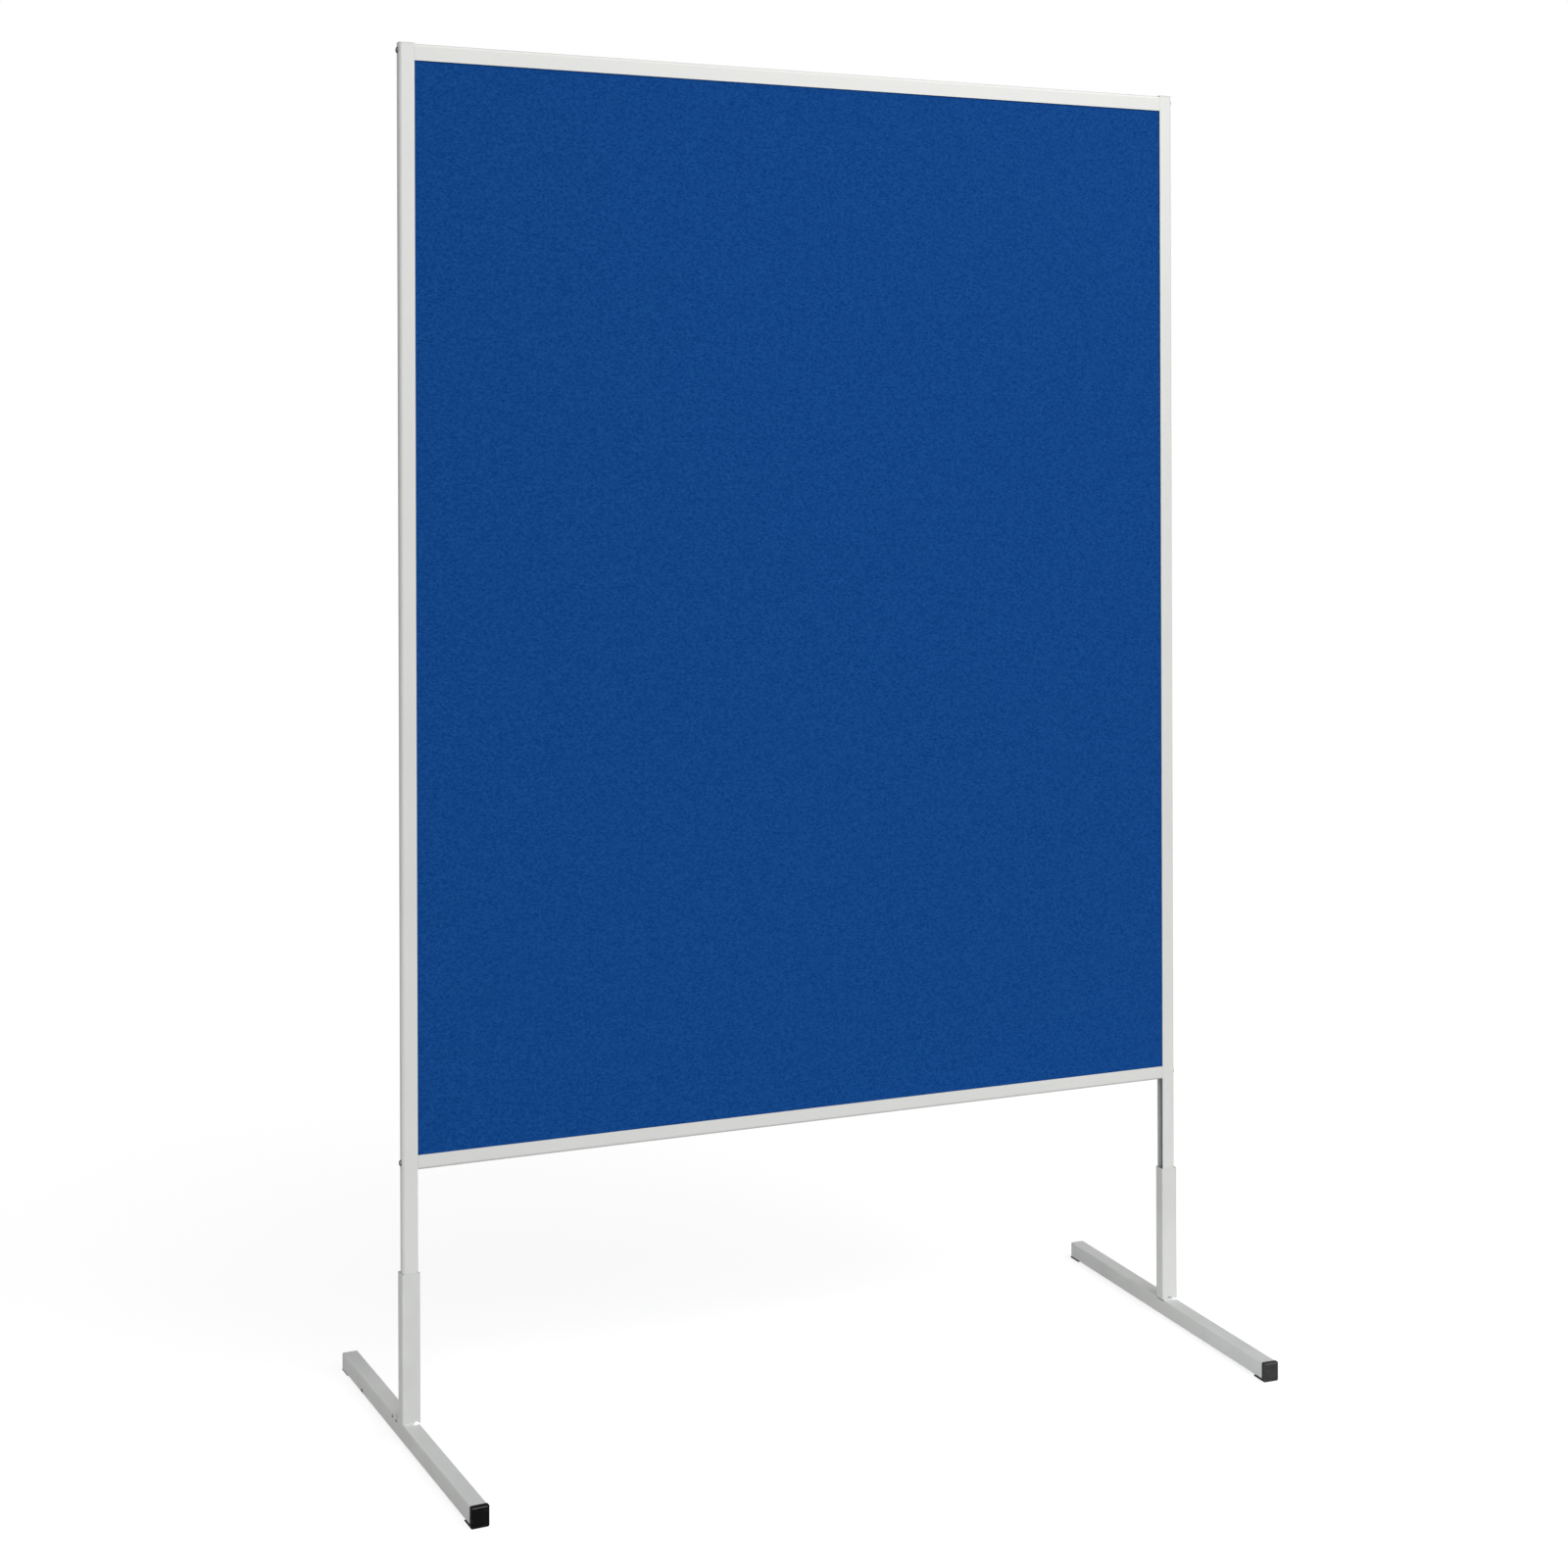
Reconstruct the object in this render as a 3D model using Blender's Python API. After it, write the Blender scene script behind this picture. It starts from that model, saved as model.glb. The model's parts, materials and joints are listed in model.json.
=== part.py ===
"""Free-standing pinboard: a felt-faced board in a metal frame, standing in two plug-on T-shaped feet.

Metres, +Z up. X runs along the board, the front felt faces -Y, and the origin lies on the floor under the
middle of the board. Each foot is a sleeve that slips up over the lower end of a stile, so it pulls off
along Z.
"""
import math

import bmesh
import bpy
from mathutils import Vector

# Clearances
GAP = 0.0003                  # between two pieces that touch
SCREW_CLEARANCE = 0.0003      # round a screw's shank
PLUG_CLEARANCE = 0.0003       # round a plug in its tube
PANEL_EDGE_GAP = 0.0006       # from the panel's edge to the bottom of its groove
SLEEVE_PLAY = 0.0008          # from the stile to the sleeve's wall, on each side
CUT_OVERRUN = 0.002           # how far a cutter reaches past what it cuts

# Board
BOARD_WIDTH = 1.200           # over the stiles
BOARD_HEIGHT = 1.500          # over the rails
LEG_EXPOSED = 0.1365          # stile that shows between the bottom rail and the sleeve

# Frame profile
STILE_FACE = 0.021            # width of a stile as seen from the front
TOP_RAIL_FACE = 0.0225        # height of the top rail as seen from the front
BOTTOM_RAIL_FACE = 0.0195
PROFILE_DEPTH = 0.016         # from the frame's front to its back
PROFILE_WALL = 0.0015
PROFILE_ROUND = 0.004         # radius of the two outer edges
GROOVE_DEPTH = 0.005          # how deep the panel's groove is
PORT_WALL = 0.00105           # metal round the screw port in a rail
TOP_PORT_DEPTH = 0.0092       # from the top rail's upper side to the middle of its screw ports
BOTTOM_PORT_DEPTH = 0.0098    # from the bottom rail's underside

# Panel
FELT_THICKNESS = 0.0010       # where the frame presses it into the groove
FELT_SWELL = 0.0002           # how much thicker it is where it lies free
FELT_MARGIN = 0.0004          # from the frame's lips to where the felt starts to swell
FELT_SLOPE = 0.0006           # width of the slope up to the free felt

# Frame screws
SCREW_SHANK_RADIUS = 0.0019
SCREW_HEAD_RADIUS = 0.00425
SCREW_HEAD_HEIGHT = 0.0027
SCREW_GRIP = 0.014            # length of the screw inside a rail
SCREW_POINT = 0.002           # length of the tapered end

# Caps on the stiles' upper ends
STILE_CAP_THICKNESS = 0.0010
STILE_CAP_PLUG = 0.006        # length of the plug
STILE_CAP_EDGE = 0.0003       # chamfer on the upper edge

# Sleeve of a foot
SLEEVE_LENGTH = 0.2001
SLEEVE_WALL = 0.0012
SLEEVE_ROUND = 0.0016         # outer corner radius
FOOT_TURN_SHARE = 0.55        # share of the sleeve's play that the foot is turned in by

# Crossbar of a foot
FOOT_REACH = 0.295            # from the stile's axis to the face of each end cap
CROSSBAR_WIDTH = 0.022
CROSSBAR_HEIGHT = 0.0234
CROSSBAR_WALL = 0.0015
CROSSBAR_ROUND = 0.0015       # outer corner radius
VENT_RADIUS = 0.0030          # drain hole in the outer side, behind the sleeve
VENT_BACK = 0.190             # from the stile's axis
VENT_RISE = 0.0044            # above the crossbar's underside

# The two small screws in the crossbar's outer side
FOOT_SCREW_SHANK_RADIUS = 0.0011
FOOT_SCREW_HEAD_RADIUS = 0.0021
FOOT_SCREW_HEAD_HEIGHT = 0.0014
FOOT_SCREW_LENGTH = 0.0065
FOOT_SCREW_BACKS = {"front": 0.023, "rear": 0.041}   # from the stile's axis
FOOT_SCREW_DROP = 0.0037      # below the crossbar's top

# End caps of a crossbar
FRONT_CAP_FLANGE = 0.005      # how far the front cap stands out of the tube
FRONT_CAP_LIP = 0.0009        # how far its flange stands over the tube's sides and top
REAR_CAP_FLANGE = 0.0022
REAR_CAP_LIP = -0.0012        # the rear flange lies within the tube's outline
CAP_PAD_HEIGHT = 0.0030       # from the floor to the crossbar
CAP_PAD_LENGTH = 0.021        # of the pad, under the crossbar
CAP_PLUG_LENGTH = 0.012
CAP_ROUND = 0.0022            # corner radius of the flange and the pad
CAP_EDGE = 0.0007             # rounding of the cap's outer edge
CAP_BORDER = 0.0020           # from the edge to the raised middle
CAP_RAISE = 0.0006            # height of the raised middle
CAP_SLOPE = 0.0008            # width of the slope up to it
CAP_MIDDLE_ROUND = 0.0005     # corner radius of the raised middle

# Weld beads at a sleeve's foot
WELD_HEIGHT = 0.0050          # up the sleeve
WELD_REACH = 0.0042           # out along the crossbar
WELD_INSET = 0.0008           # from the crossbar's side to the bead's end
WELD_RIPPLES = 5              # swellings along a bead
WELD_RIPPLE_SHARE = 0.12      # how much a bead swells

# Fineness of round shapes
ARC_STEPS = 5
CIRCLE_STEPS = 20
WELD_ARC_STEPS = 5
WELD_STEPS_PER_RIPPLE = 4

# Places that follow from the sizes
CROSSBAR_FRONT = FRONT_CAP_FLANGE - FOOT_REACH
CROSSBAR_REAR = FOOT_REACH - REAR_CAP_FLANGE
CROSSBAR_LENGTH = CROSSBAR_REAR - CROSSBAR_FRONT
CROSSBAR_TOP = CAP_PAD_HEIGHT + CROSSBAR_HEIGHT
SLEEVE_BOTTOM = CROSSBAR_TOP + GAP
SLEEVE_TOP = SLEEVE_BOTTOM + SLEEVE_LENGTH
BOARD_BOTTOM = SLEEVE_TOP + LEG_EXPOSED
BOARD_TOP = BOARD_BOTTOM + BOARD_HEIGHT
STILE_BOTTOM = CROSSBAR_TOP + GAP
STILE_LENGTH = BOARD_TOP - STILE_BOTTOM
RAIL_LENGTH = BOARD_WIDTH - 2 * (STILE_FACE + GAP)
STILE_AXIS = BOARD_WIDTH / 2 - STILE_FACE / 2
SCREW_BORE = SCREW_SHANK_RADIUS + SCREW_CLEARANCE
PORT_HALF = SCREW_BORE + PORT_WALL
PROFILE_INNER_ROUND = max(PROFILE_ROUND - PROFILE_WALL, 0)
TOP_SCREW_LEVEL = BOARD_TOP - TOP_PORT_DEPTH
BOTTOM_SCREW_LEVEL = BOARD_BOTTOM + BOTTOM_PORT_DEPTH
SLEEVE_WIDTH = STILE_FACE + 2 * (SLEEVE_PLAY + SLEEVE_WALL)
SLEEVE_DEPTH = PROFILE_DEPTH + 2 * (SLEEVE_PLAY + SLEEVE_WALL)
FOOT_TURN = math.atan(FOOT_TURN_SHARE * 2 * SLEEVE_PLAY / STILE_FACE)

# Panel between the grooves
PANEL_BITE = GROOVE_DEPTH - PANEL_EDGE_GAP
PANEL_WIDTH = BOARD_WIDTH - 2 * STILE_FACE + 2 * PANEL_BITE
PANEL_BOTTOM = BOARD_BOTTOM + BOTTOM_RAIL_FACE - PANEL_BITE
PANEL_HEIGHT = BOARD_TOP - TOP_RAIL_FACE + PANEL_BITE - PANEL_BOTTOM
PANEL_HALF_DEPTH = PROFILE_DEPTH / 2 - PROFILE_WALL - GAP
CORE_HALF_DEPTH = PANEL_HALF_DEPTH - FELT_THICKNESS - GAP

LEFT = -1
RIGHT = 1


def clear_scene():
    """Take every object out of the scene."""
    for item in list(bpy.data.objects):
        bpy.data.objects.remove(item, do_unlink=True)


def make_material(name, colour, roughness, metallic=0.0):
    """Return a plain Principled material."""
    material = bpy.data.materials.new(name)
    material.use_nodes = True
    shader = material.node_tree.nodes["Principled BSDF"]
    shader.inputs["Base Color"].default_value = (*colour, 1.0)
    shader.inputs["Roughness"].default_value = roughness
    shader.inputs["Metallic"].default_value = metallic
    return material


def add_object(name, bm, material, parent=None, smooth=False):
    """Make an object of a bmesh, with its faces turned outwards."""
    bmesh.ops.recalc_face_normals(bm, faces=bm.faces)
    mesh = bpy.data.meshes.new(name)
    bm.to_mesh(mesh)
    bm.free()
    if smooth:
        mesh.shade_smooth()
        mesh.set_sharp_from_angle(angle=math.radians(35))
    mesh.materials.append(material)
    item = bpy.data.objects.new(name, mesh)
    bpy.context.collection.objects.link(item)
    item.parent = parent
    return item


def fillet(corners):
    """Return an outline's points, with an arc at each corner that has a radius.

    corners is a list of (u, v, radius) in order round the outline.
    """
    points = []
    count = len(corners)
    for index, (u, v, radius) in enumerate(corners):
        corner = Vector((u, v))
        if radius <= 0:
            points.append(corner)
            continue
        before = (Vector(corners[index - 1][:2]) - corner).normalized()
        after = (Vector(corners[(index + 1) % count][:2]) - corner).normalized()
        half = before.angle(after) / 2
        centre = corner + (before + after).normalized() * radius / math.sin(half)
        first = corner + before * radius / math.tan(half) - centre
        last = corner + after * radius / math.tan(half) - centre
        sweep = first.angle_signed(last)
        for step in range(ARC_STEPS + 1):
            angle = -sweep * step / ARC_STEPS
            turned = Vector((
                first.x * math.cos(angle) - first.y * math.sin(angle),
                first.x * math.sin(angle) + first.y * math.cos(angle),
            ))
            points.append(centre + turned)
    return points


def circle(u, v, radius):
    """Return the points of a circle."""
    return [
        Vector((u + radius * math.cos(turn), v + radius * math.sin(turn)))
        for turn in (math.tau * step / CIRCLE_STEPS for step in range(CIRCLE_STEPS))
    ]


def rectangle(width, height, radius):
    """Return the points of a rectangle round the origin, with rounded corners."""
    u, v = width / 2, height / 2
    return fillet([(-u, -v, radius), (u, -v, radius), (u, v, radius), (-u, v, radius)])


def add_loop(bm, points, level=0.0):
    """Add a closed loop of edges at a height, and return its vertices and edges."""
    verts = [bm.verts.new((point.x, point.y, level)) for point in points]
    edges = [bm.edges.new((verts[index - 1], vert)) for index, vert in enumerate(verts)]
    return verts, edges


def extrude_section(outline, holes, length):
    """Return a bmesh of an outline with holes, drawn out along local Z."""
    bm = bmesh.new()
    edges = []
    for points in [outline, *holes]:
        edges += add_loop(bm, points)[1]
    bmesh.ops.triangle_fill(bm, use_beauty=True, edges=edges)
    drawn = bmesh.ops.extrude_face_region(bm, geom=bm.faces[:])
    moved = [part for part in drawn["geom"] if isinstance(part, bmesh.types.BMVert)]
    bmesh.ops.translate(bm, verts=moved, vec=(0, 0, length))
    return bm


def turn_profile(profile):
    """Return a bmesh of a profile of (radius, height) turned round local Z."""
    bm = bmesh.new()
    verts = [bm.verts.new((radius, 0, height)) for radius, height in profile]
    edges = [bm.edges.new(pair) for pair in zip(verts, verts[1:])]
    bmesh.ops.spin(
        bm, geom=verts + edges, cent=(0, 0, 0), axis=(0, 0, 1), angle=math.tau, steps=CIRCLE_STEPS,
        use_duplicate=False,
    )
    bmesh.ops.remove_doubles(bm, verts=bm.verts, dist=GAP * 0.01)
    return bm


def drill(target, name, place, radius, depth):
    """Cut a round hole into an object, along its local X and centred on a place."""
    bm = bmesh.new()
    bmesh.ops.create_cone(
        bm, cap_ends=True, segments=CIRCLE_STEPS, radius1=radius, radius2=radius, depth=depth,
    )
    cutter = add_object(name, bm, target.data.materials[0], target)
    cutter.rotation_euler = (0, math.pi / 2, 0)
    cutter.location = place
    cutter.hide_render = True
    cutter.display_type = "WIRE"
    cut = target.modifiers.new(name, "BOOLEAN")
    cut.operation = "DIFFERENCE"
    cut.solver = "EXACT"
    cut.object = cutter


def profile_outline(face):
    """Return the outline of the frame profile: local X runs in from its outer face to the groove."""
    half = PROFILE_DEPTH / 2
    lip = half - PROFILE_WALL
    floor = face - GROOVE_DEPTH
    return fillet([
        (0, -half, PROFILE_ROUND),
        (face, -half, 0),
        (face, -lip, 0),
        (floor, -lip, 0),
        (floor, lip, 0),
        (face, lip, 0),
        (face, half, 0),
        (0, half, PROFILE_ROUND),
    ])


def chamber_outline(face):
    """Return the outline of a stile's hollow chamber."""
    half = PROFILE_DEPTH / 2 - PROFILE_WALL
    web = face - GROOVE_DEPTH - PROFILE_WALL
    return fillet([
        (PROFILE_WALL, -half, PROFILE_INNER_ROUND),
        (web, -half, 0),
        (web, half, 0),
        (PROFILE_WALL, half, PROFILE_INNER_ROUND),
    ])


def port_chamber_outline(face, port):
    """Return the outline of a rail's chamber, which goes round the block of the screw port.

    The port lies at its depth below the rail's outer face.
    """
    half = PROFILE_DEPTH / 2 - PROFILE_WALL
    web = face - GROOVE_DEPTH - PROFILE_WALL
    block = port - PORT_HALF
    return fillet([
        (PROFILE_WALL, -half, PROFILE_INNER_ROUND),
        (web, -half, 0),
        (web, -PORT_HALF, 0),
        (block, -PORT_HALF, 0),
        (block, PORT_HALF, 0),
        (web, PORT_HALF, 0),
        (web, half, 0),
        (PROFILE_WALL, half, PROFILE_INNER_ROUND),
    ])


def add_stile(name, side, material):
    """Add a stile: a hollow profile from the crossbar to the board's top, drilled for two screws."""
    bm = extrude_section(profile_outline(STILE_FACE), [chamber_outline(STILE_FACE)], STILE_LENGTH)
    stile = add_object(name, bm, material)
    stile.location = (side * BOARD_WIDTH / 2, 0, STILE_BOTTOM)
    stile.rotation_euler = (0, 0, 0 if side == LEFT else math.pi)
    for label, level in (("top", TOP_SCREW_LEVEL), ("bottom", BOTTOM_SCREW_LEVEL)):
        place = (STILE_FACE / 2, 0, level - STILE_BOTTOM)
        drill(stile, f"{name}_{label}_hole", place, SCREW_BORE, STILE_FACE + 2 * CUT_OVERRUN)
    return stile


def add_rail(name, face, port, level, tilt, material):
    """Add a rail between the stiles: its outer face at a level, its groove towards the panel."""
    holes = [port_chamber_outline(face, port), circle(port, 0, SCREW_BORE)]
    bm = extrude_section(profile_outline(face), holes, RAIL_LENGTH)
    rail = add_object(name, bm, material)
    rail.location = (-tilt * RAIL_LENGTH / 2, 0, level)
    rail.rotation_euler = (0, tilt * math.pi / 2, 0)
    return rail


def stile_outline(inset):
    """Return the outline of a stile with its groove closed, set in by a margin."""
    half = PROFILE_DEPTH / 2 - inset
    return fillet([
        (inset, -half, PROFILE_ROUND - inset),
        (STILE_FACE - inset, -half, 0),
        (STILE_FACE - inset, half, 0),
        (inset, half, PROFILE_ROUND - inset),
    ])


def add_stile_cap(name, side, material):
    """Add the thin cap on a stile's upper end, with its plug down the chamber."""
    plug_low = PROFILE_WALL + PLUG_CLEARANCE
    plug_high = STILE_FACE - GROOVE_DEPTH - PROFILE_WALL - PLUG_CLEARANCE
    plug_half = PROFILE_DEPTH / 2 - PROFILE_WALL - PLUG_CLEARANCE
    plug = fillet([
        (plug_low, -plug_half, PROFILE_INNER_ROUND),
        (plug_high, -plug_half, 0),
        (plug_high, plug_half, 0),
        (plug_low, plug_half, PROFILE_INNER_ROUND),
    ])
    upper_edge = STILE_CAP_THICKNESS - STILE_CAP_EDGE
    bm = bmesh.new()
    lower, *_ = loft(bm, [
        (stile_outline(0), 0.0),
        (stile_outline(0), upper_edge - GAP),
        (stile_outline(STILE_CAP_EDGE), STILE_CAP_THICKNESS - GAP),
    ])
    add_plug(bm, lower, plug, 0.0, STILE_CAP_PLUG)
    cap = add_object(name, bm, material)
    cap.location = (side * BOARD_WIDTH / 2, 0, BOARD_TOP + GAP)
    cap.rotation_euler = (0, 0, 0 if side == LEFT else math.pi)
    return cap


def loft(bm, sections):
    """Skin a list of (points, level) sections and close the last one.

    Returns the vertices of each section.
    """
    rings = [[bm.verts.new((point.x, point.y, level)) for point in points] for points, level in sections]
    for first, second in zip(rings, rings[1:]):
        for index, vert in enumerate(first):
            bm.faces.new((first[index - 1], vert, second[index], second[index - 1]))
    bm.faces.new(rings[-1])
    return rings


def closed_edges(bm, verts):
    """Return the edges round a ring of vertices, and make those that are missing."""
    pairs = [(verts[index - 1], vert) for index, vert in enumerate(verts)]
    return [bm.edges.get(pair) or bm.edges.new(pair) for pair in pairs]


def add_plug(bm, surround, plug, level, length):
    """Add a plug that goes down from a level, and the face between it and the ring around it."""
    base, *_ = loft(bm, [(plug, level), (plug, level - length)])
    edges = closed_edges(bm, surround) + closed_edges(bm, base)
    bmesh.ops.triangle_fill(bm, use_beauty=True, edges=edges)


def screw_profile(shank_radius, head_radius, head_height, length):
    """Return the profile of a screw with a domed head that sits above z = 0."""
    dome = [
        (head_radius * math.cos(angle), head_height * math.sin(angle))
        for angle in (math.pi / 2 * step / ARC_STEPS for step in range(ARC_STEPS + 1))
    ]
    dome[-1] = (0, head_height)
    return [
        *reversed(dome),
        (shank_radius, 0),
        (shank_radius, SCREW_POINT - length),
        (0, -length),
    ]


def add_screw(name, place, tilt, profile, material, parent=None):
    """Add a screw whose head points along X to the side that tilt names."""
    screw = add_object(name, turn_profile(profile), material, parent, smooth=True)
    screw.location = place
    screw.rotation_euler = (0, tilt * math.pi / 2, 0)
    return screw


def add_frame_screws(material):
    """Add the four screws that hold the rails between the stiles."""
    profile = screw_profile(
        SCREW_SHANK_RADIUS, SCREW_HEAD_RADIUS, SCREW_HEAD_HEIGHT, STILE_FACE + 2 * GAP + SCREW_GRIP,
    )
    for side, side_name in ((LEFT, "left"), (RIGHT, "right")):
        for level, level_name in ((TOP_SCREW_LEVEL, "top"), (BOTTOM_SCREW_LEVEL, "bottom")):
            place = (side * (BOARD_WIDTH / 2 + GAP), 0, level)
            add_screw(f"{level_name}_{side_name}_screw", place, side, profile, material)


def panel_outline(inset):
    """Return the panel's outline, set in by a margin, with the local origin under its middle."""
    u = PANEL_WIDTH / 2 - inset
    return fillet([
        (-u, inset, 0), (u, inset, 0), (u, PANEL_HEIGHT - inset, 0), (-u, PANEL_HEIGHT - inset, 0),
    ])


def add_felt(name, facing, material):
    """Add a felt face: thin in the frame's groove, a little thicker where it lies free."""
    free = PANEL_BITE + FELT_MARGIN
    bm = bmesh.new()
    back, *_ = loft(bm, [
        (panel_outline(0), 0.0),
        (panel_outline(0), FELT_THICKNESS),
        (panel_outline(free), FELT_THICKNESS),
        (panel_outline(free + FELT_SLOPE), FELT_THICKNESS + FELT_SWELL),
    ])
    bm.faces.new(back)
    felt = add_object(name, bm, material)
    felt.location = (0, facing * (PANEL_HALF_DEPTH - FELT_THICKNESS), PANEL_BOTTOM)
    felt.rotation_euler = (math.pi / 2, 0, 0 if facing < 0 else math.pi)
    return felt


def add_panel(core_material, felt_material):
    """Add the stiff core and the felt on its front and its back."""
    bm = extrude_section(panel_outline(0), [], 2 * CORE_HALF_DEPTH)
    core = add_object("board_core", bm, core_material)
    core.location = (0, CORE_HALF_DEPTH, PANEL_BOTTOM)
    core.rotation_euler = (math.pi / 2, 0, 0)
    add_felt("front_felt", -1, felt_material)
    add_felt("rear_felt", 1, felt_material)


def tube_section(width, height, wall, radius, length):
    """Return a bmesh of a rectangular tube with rounded corners."""
    outline = rectangle(width, height, radius)
    hollow = rectangle(width - 2 * wall, height - 2 * wall, max(radius - wall, 0))
    return extrude_section(outline, [hollow], length)


def add_sleeve(name, foot, material):
    """Add the upright tube that takes the stile."""
    bm = tube_section(SLEEVE_WIDTH, SLEEVE_DEPTH, SLEEVE_WALL, SLEEVE_ROUND, SLEEVE_LENGTH)
    sleeve = add_object(name, bm, material, foot)
    sleeve.location = (0, 0, SLEEVE_BOTTOM)
    return sleeve


def add_crossbar(name, side, foot, material):
    """Add the tube that lies along Y, with the holes in its outer side."""
    bm = tube_section(CROSSBAR_WIDTH, CROSSBAR_HEIGHT, CROSSBAR_WALL, CROSSBAR_ROUND, CROSSBAR_LENGTH)
    crossbar = add_object(name, bm, material, foot)
    crossbar.location = (0, CROSSBAR_REAR, CAP_PAD_HEIGHT + CROSSBAR_HEIGHT / 2)
    crossbar.rotation_euler = (math.pi / 2, 0, 0)
    outer = side * (CROSSBAR_WIDTH - CROSSBAR_WALL) / 2
    reach = CROSSBAR_WALL + 2 * CUT_OVERRUN
    vent = (outer, VENT_RISE - CROSSBAR_HEIGHT / 2, CROSSBAR_REAR - VENT_BACK)
    drill(crossbar, f"{name}_vent", vent, VENT_RADIUS, reach)
    for screw_name, back in FOOT_SCREW_BACKS.items():
        hole = (outer, CROSSBAR_HEIGHT / 2 - FOOT_SCREW_DROP, CROSSBAR_REAR - back)
        drill(crossbar, f"{name}_{screw_name}_hole", hole, FOOT_SCREW_SHANK_RADIUS + SCREW_CLEARANCE, reach)
    return crossbar


def end_cap_outline(lip, inset):
    """Return the outline of an end cap, set in by a margin.

    It starts at the left end of the pad's upper edge, and goes over the top. The pad is as wide as
    the flange, or as the tube if that is wider, and the flange then stands on a step.
    """
    flange = CROSSBAR_WIDTH / 2 + lip - inset
    pad = CROSSBAR_WIDTH / 2 + max(lip, 0) - inset
    top = inset - lip - CROSSBAR_HEIGHT / 2
    split = CROSSBAR_HEIGHT / 2 + GAP
    bottom = CROSSBAR_HEIGHT / 2 + CAP_PAD_HEIGHT - inset
    radius = max(CAP_ROUND - inset, CAP_MIDDLE_ROUND)
    upper = [(-flange, split, 0), (-flange, top, radius), (flange, top, radius), (flange, split, 0)]
    if lip < 0:
        upper = [(-pad, split, 0), *upper, (pad, split, 0)]
    return fillet([*upper, (pad, bottom, radius), (-pad, bottom, radius)])


def end_cap_mesh(flange, lip):
    """Return a bmesh of an end cap: flange, plug and pad.

    Local Z points out of the tube from its end, and local Y points down.
    """
    sections = [(end_cap_outline(lip, 0), GAP)]
    for step in range(ARC_STEPS + 1):
        angle = math.pi / 2 * step / ARC_STEPS
        inset = CAP_EDGE * (1 - math.cos(angle))
        sections.append((end_cap_outline(lip, inset), flange - CAP_EDGE * (1 - math.sin(angle))))
    sections.append((end_cap_outline(lip, CAP_BORDER), flange))
    sections.append((end_cap_outline(lip, CAP_BORDER + CAP_SLOPE), flange + CAP_RAISE))
    bm = bmesh.new()
    back, *_ = loft(bm, sections)
    first = 1 if lip < 0 else 0
    last = first + 2 * (ARC_STEPS + 1) + 1
    pad = [*back[:first + 1], *back[last:]]
    far = [bm.verts.new((vert.co.x, vert.co.y, GAP - CAP_PAD_LENGTH)) for vert in pad]
    for index, vert in enumerate(pad):
        bm.faces.new((pad[index - 1], vert, far[index], far[index - 1]))
    bm.faces.new(far)
    wall = CROSSBAR_WALL + PLUG_CLEARANCE
    plug_round = max(CROSSBAR_ROUND - CROSSBAR_WALL, 0)
    plug = rectangle(CROSSBAR_WIDTH - 2 * wall, CROSSBAR_HEIGHT - 2 * wall, plug_round)
    add_plug(bm, back[first:last + 1], plug, GAP, CAP_PLUG_LENGTH)
    return bm


def add_end_cap(name, facing, foot, material):
    """Add an end cap to the crossbar's end that faces along Y to the side that facing names."""
    if facing > 0:
        mesh, end = end_cap_mesh(REAR_CAP_FLANGE, REAR_CAP_LIP), CROSSBAR_REAR
    else:
        mesh, end = end_cap_mesh(FRONT_CAP_FLANGE, FRONT_CAP_LIP), CROSSBAR_FRONT
    cap = add_object(name, mesh, material, foot)
    cap.location = (0, end, CAP_PAD_HEIGHT + CROSSBAR_HEIGHT / 2)
    cap.rotation_euler = (-math.pi / 2, 0, 0 if facing > 0 else math.pi)
    return cap


def add_weld(name, facing, foot, material):
    """Add a weld bead between the crossbar's top and the sleeve's front or back."""
    bm = bmesh.new()
    steps = WELD_RIPPLES * WELD_STEPS_PER_RIPPLE
    half = CROSSBAR_WIDTH / 2 - WELD_INSET
    rings = []
    for step in range(steps + 1):
        along = step / steps
        swell = 1 + WELD_RIPPLE_SHARE * math.cos(math.tau * WELD_RIPPLES * along)
        taper = math.sqrt(math.sin(math.pi * (step + 1) / (steps + 2)))
        scale = swell * taper / (1 + WELD_RIPPLE_SHARE)
        x = half * (2 * along - 1)
        ring = [bm.verts.new((x, 0, 0))]
        for turn in range(WELD_ARC_STEPS + 1):
            angle = math.pi / 2 * turn / WELD_ARC_STEPS
            out = WELD_REACH * scale * math.cos(angle)
            up = WELD_HEIGHT * scale * math.sin(angle)
            ring.append(bm.verts.new((x, out, up)))
        rings.append(ring)
    for first, second in zip(rings, rings[1:]):
        for index, vert in enumerate(first):
            bm.faces.new((first[index - 1], vert, second[index], second[index - 1]))
    bm.faces.new(rings[0])
    bm.faces.new(rings[-1])
    bead = add_object(name, bm, material, foot)
    bead.location = (0, facing * (SLEEVE_DEPTH / 2 + GAP), CROSSBAR_TOP + GAP)
    bead.rotation_euler = (0, 0, 0 if facing > 0 else math.pi)
    return bead


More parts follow.
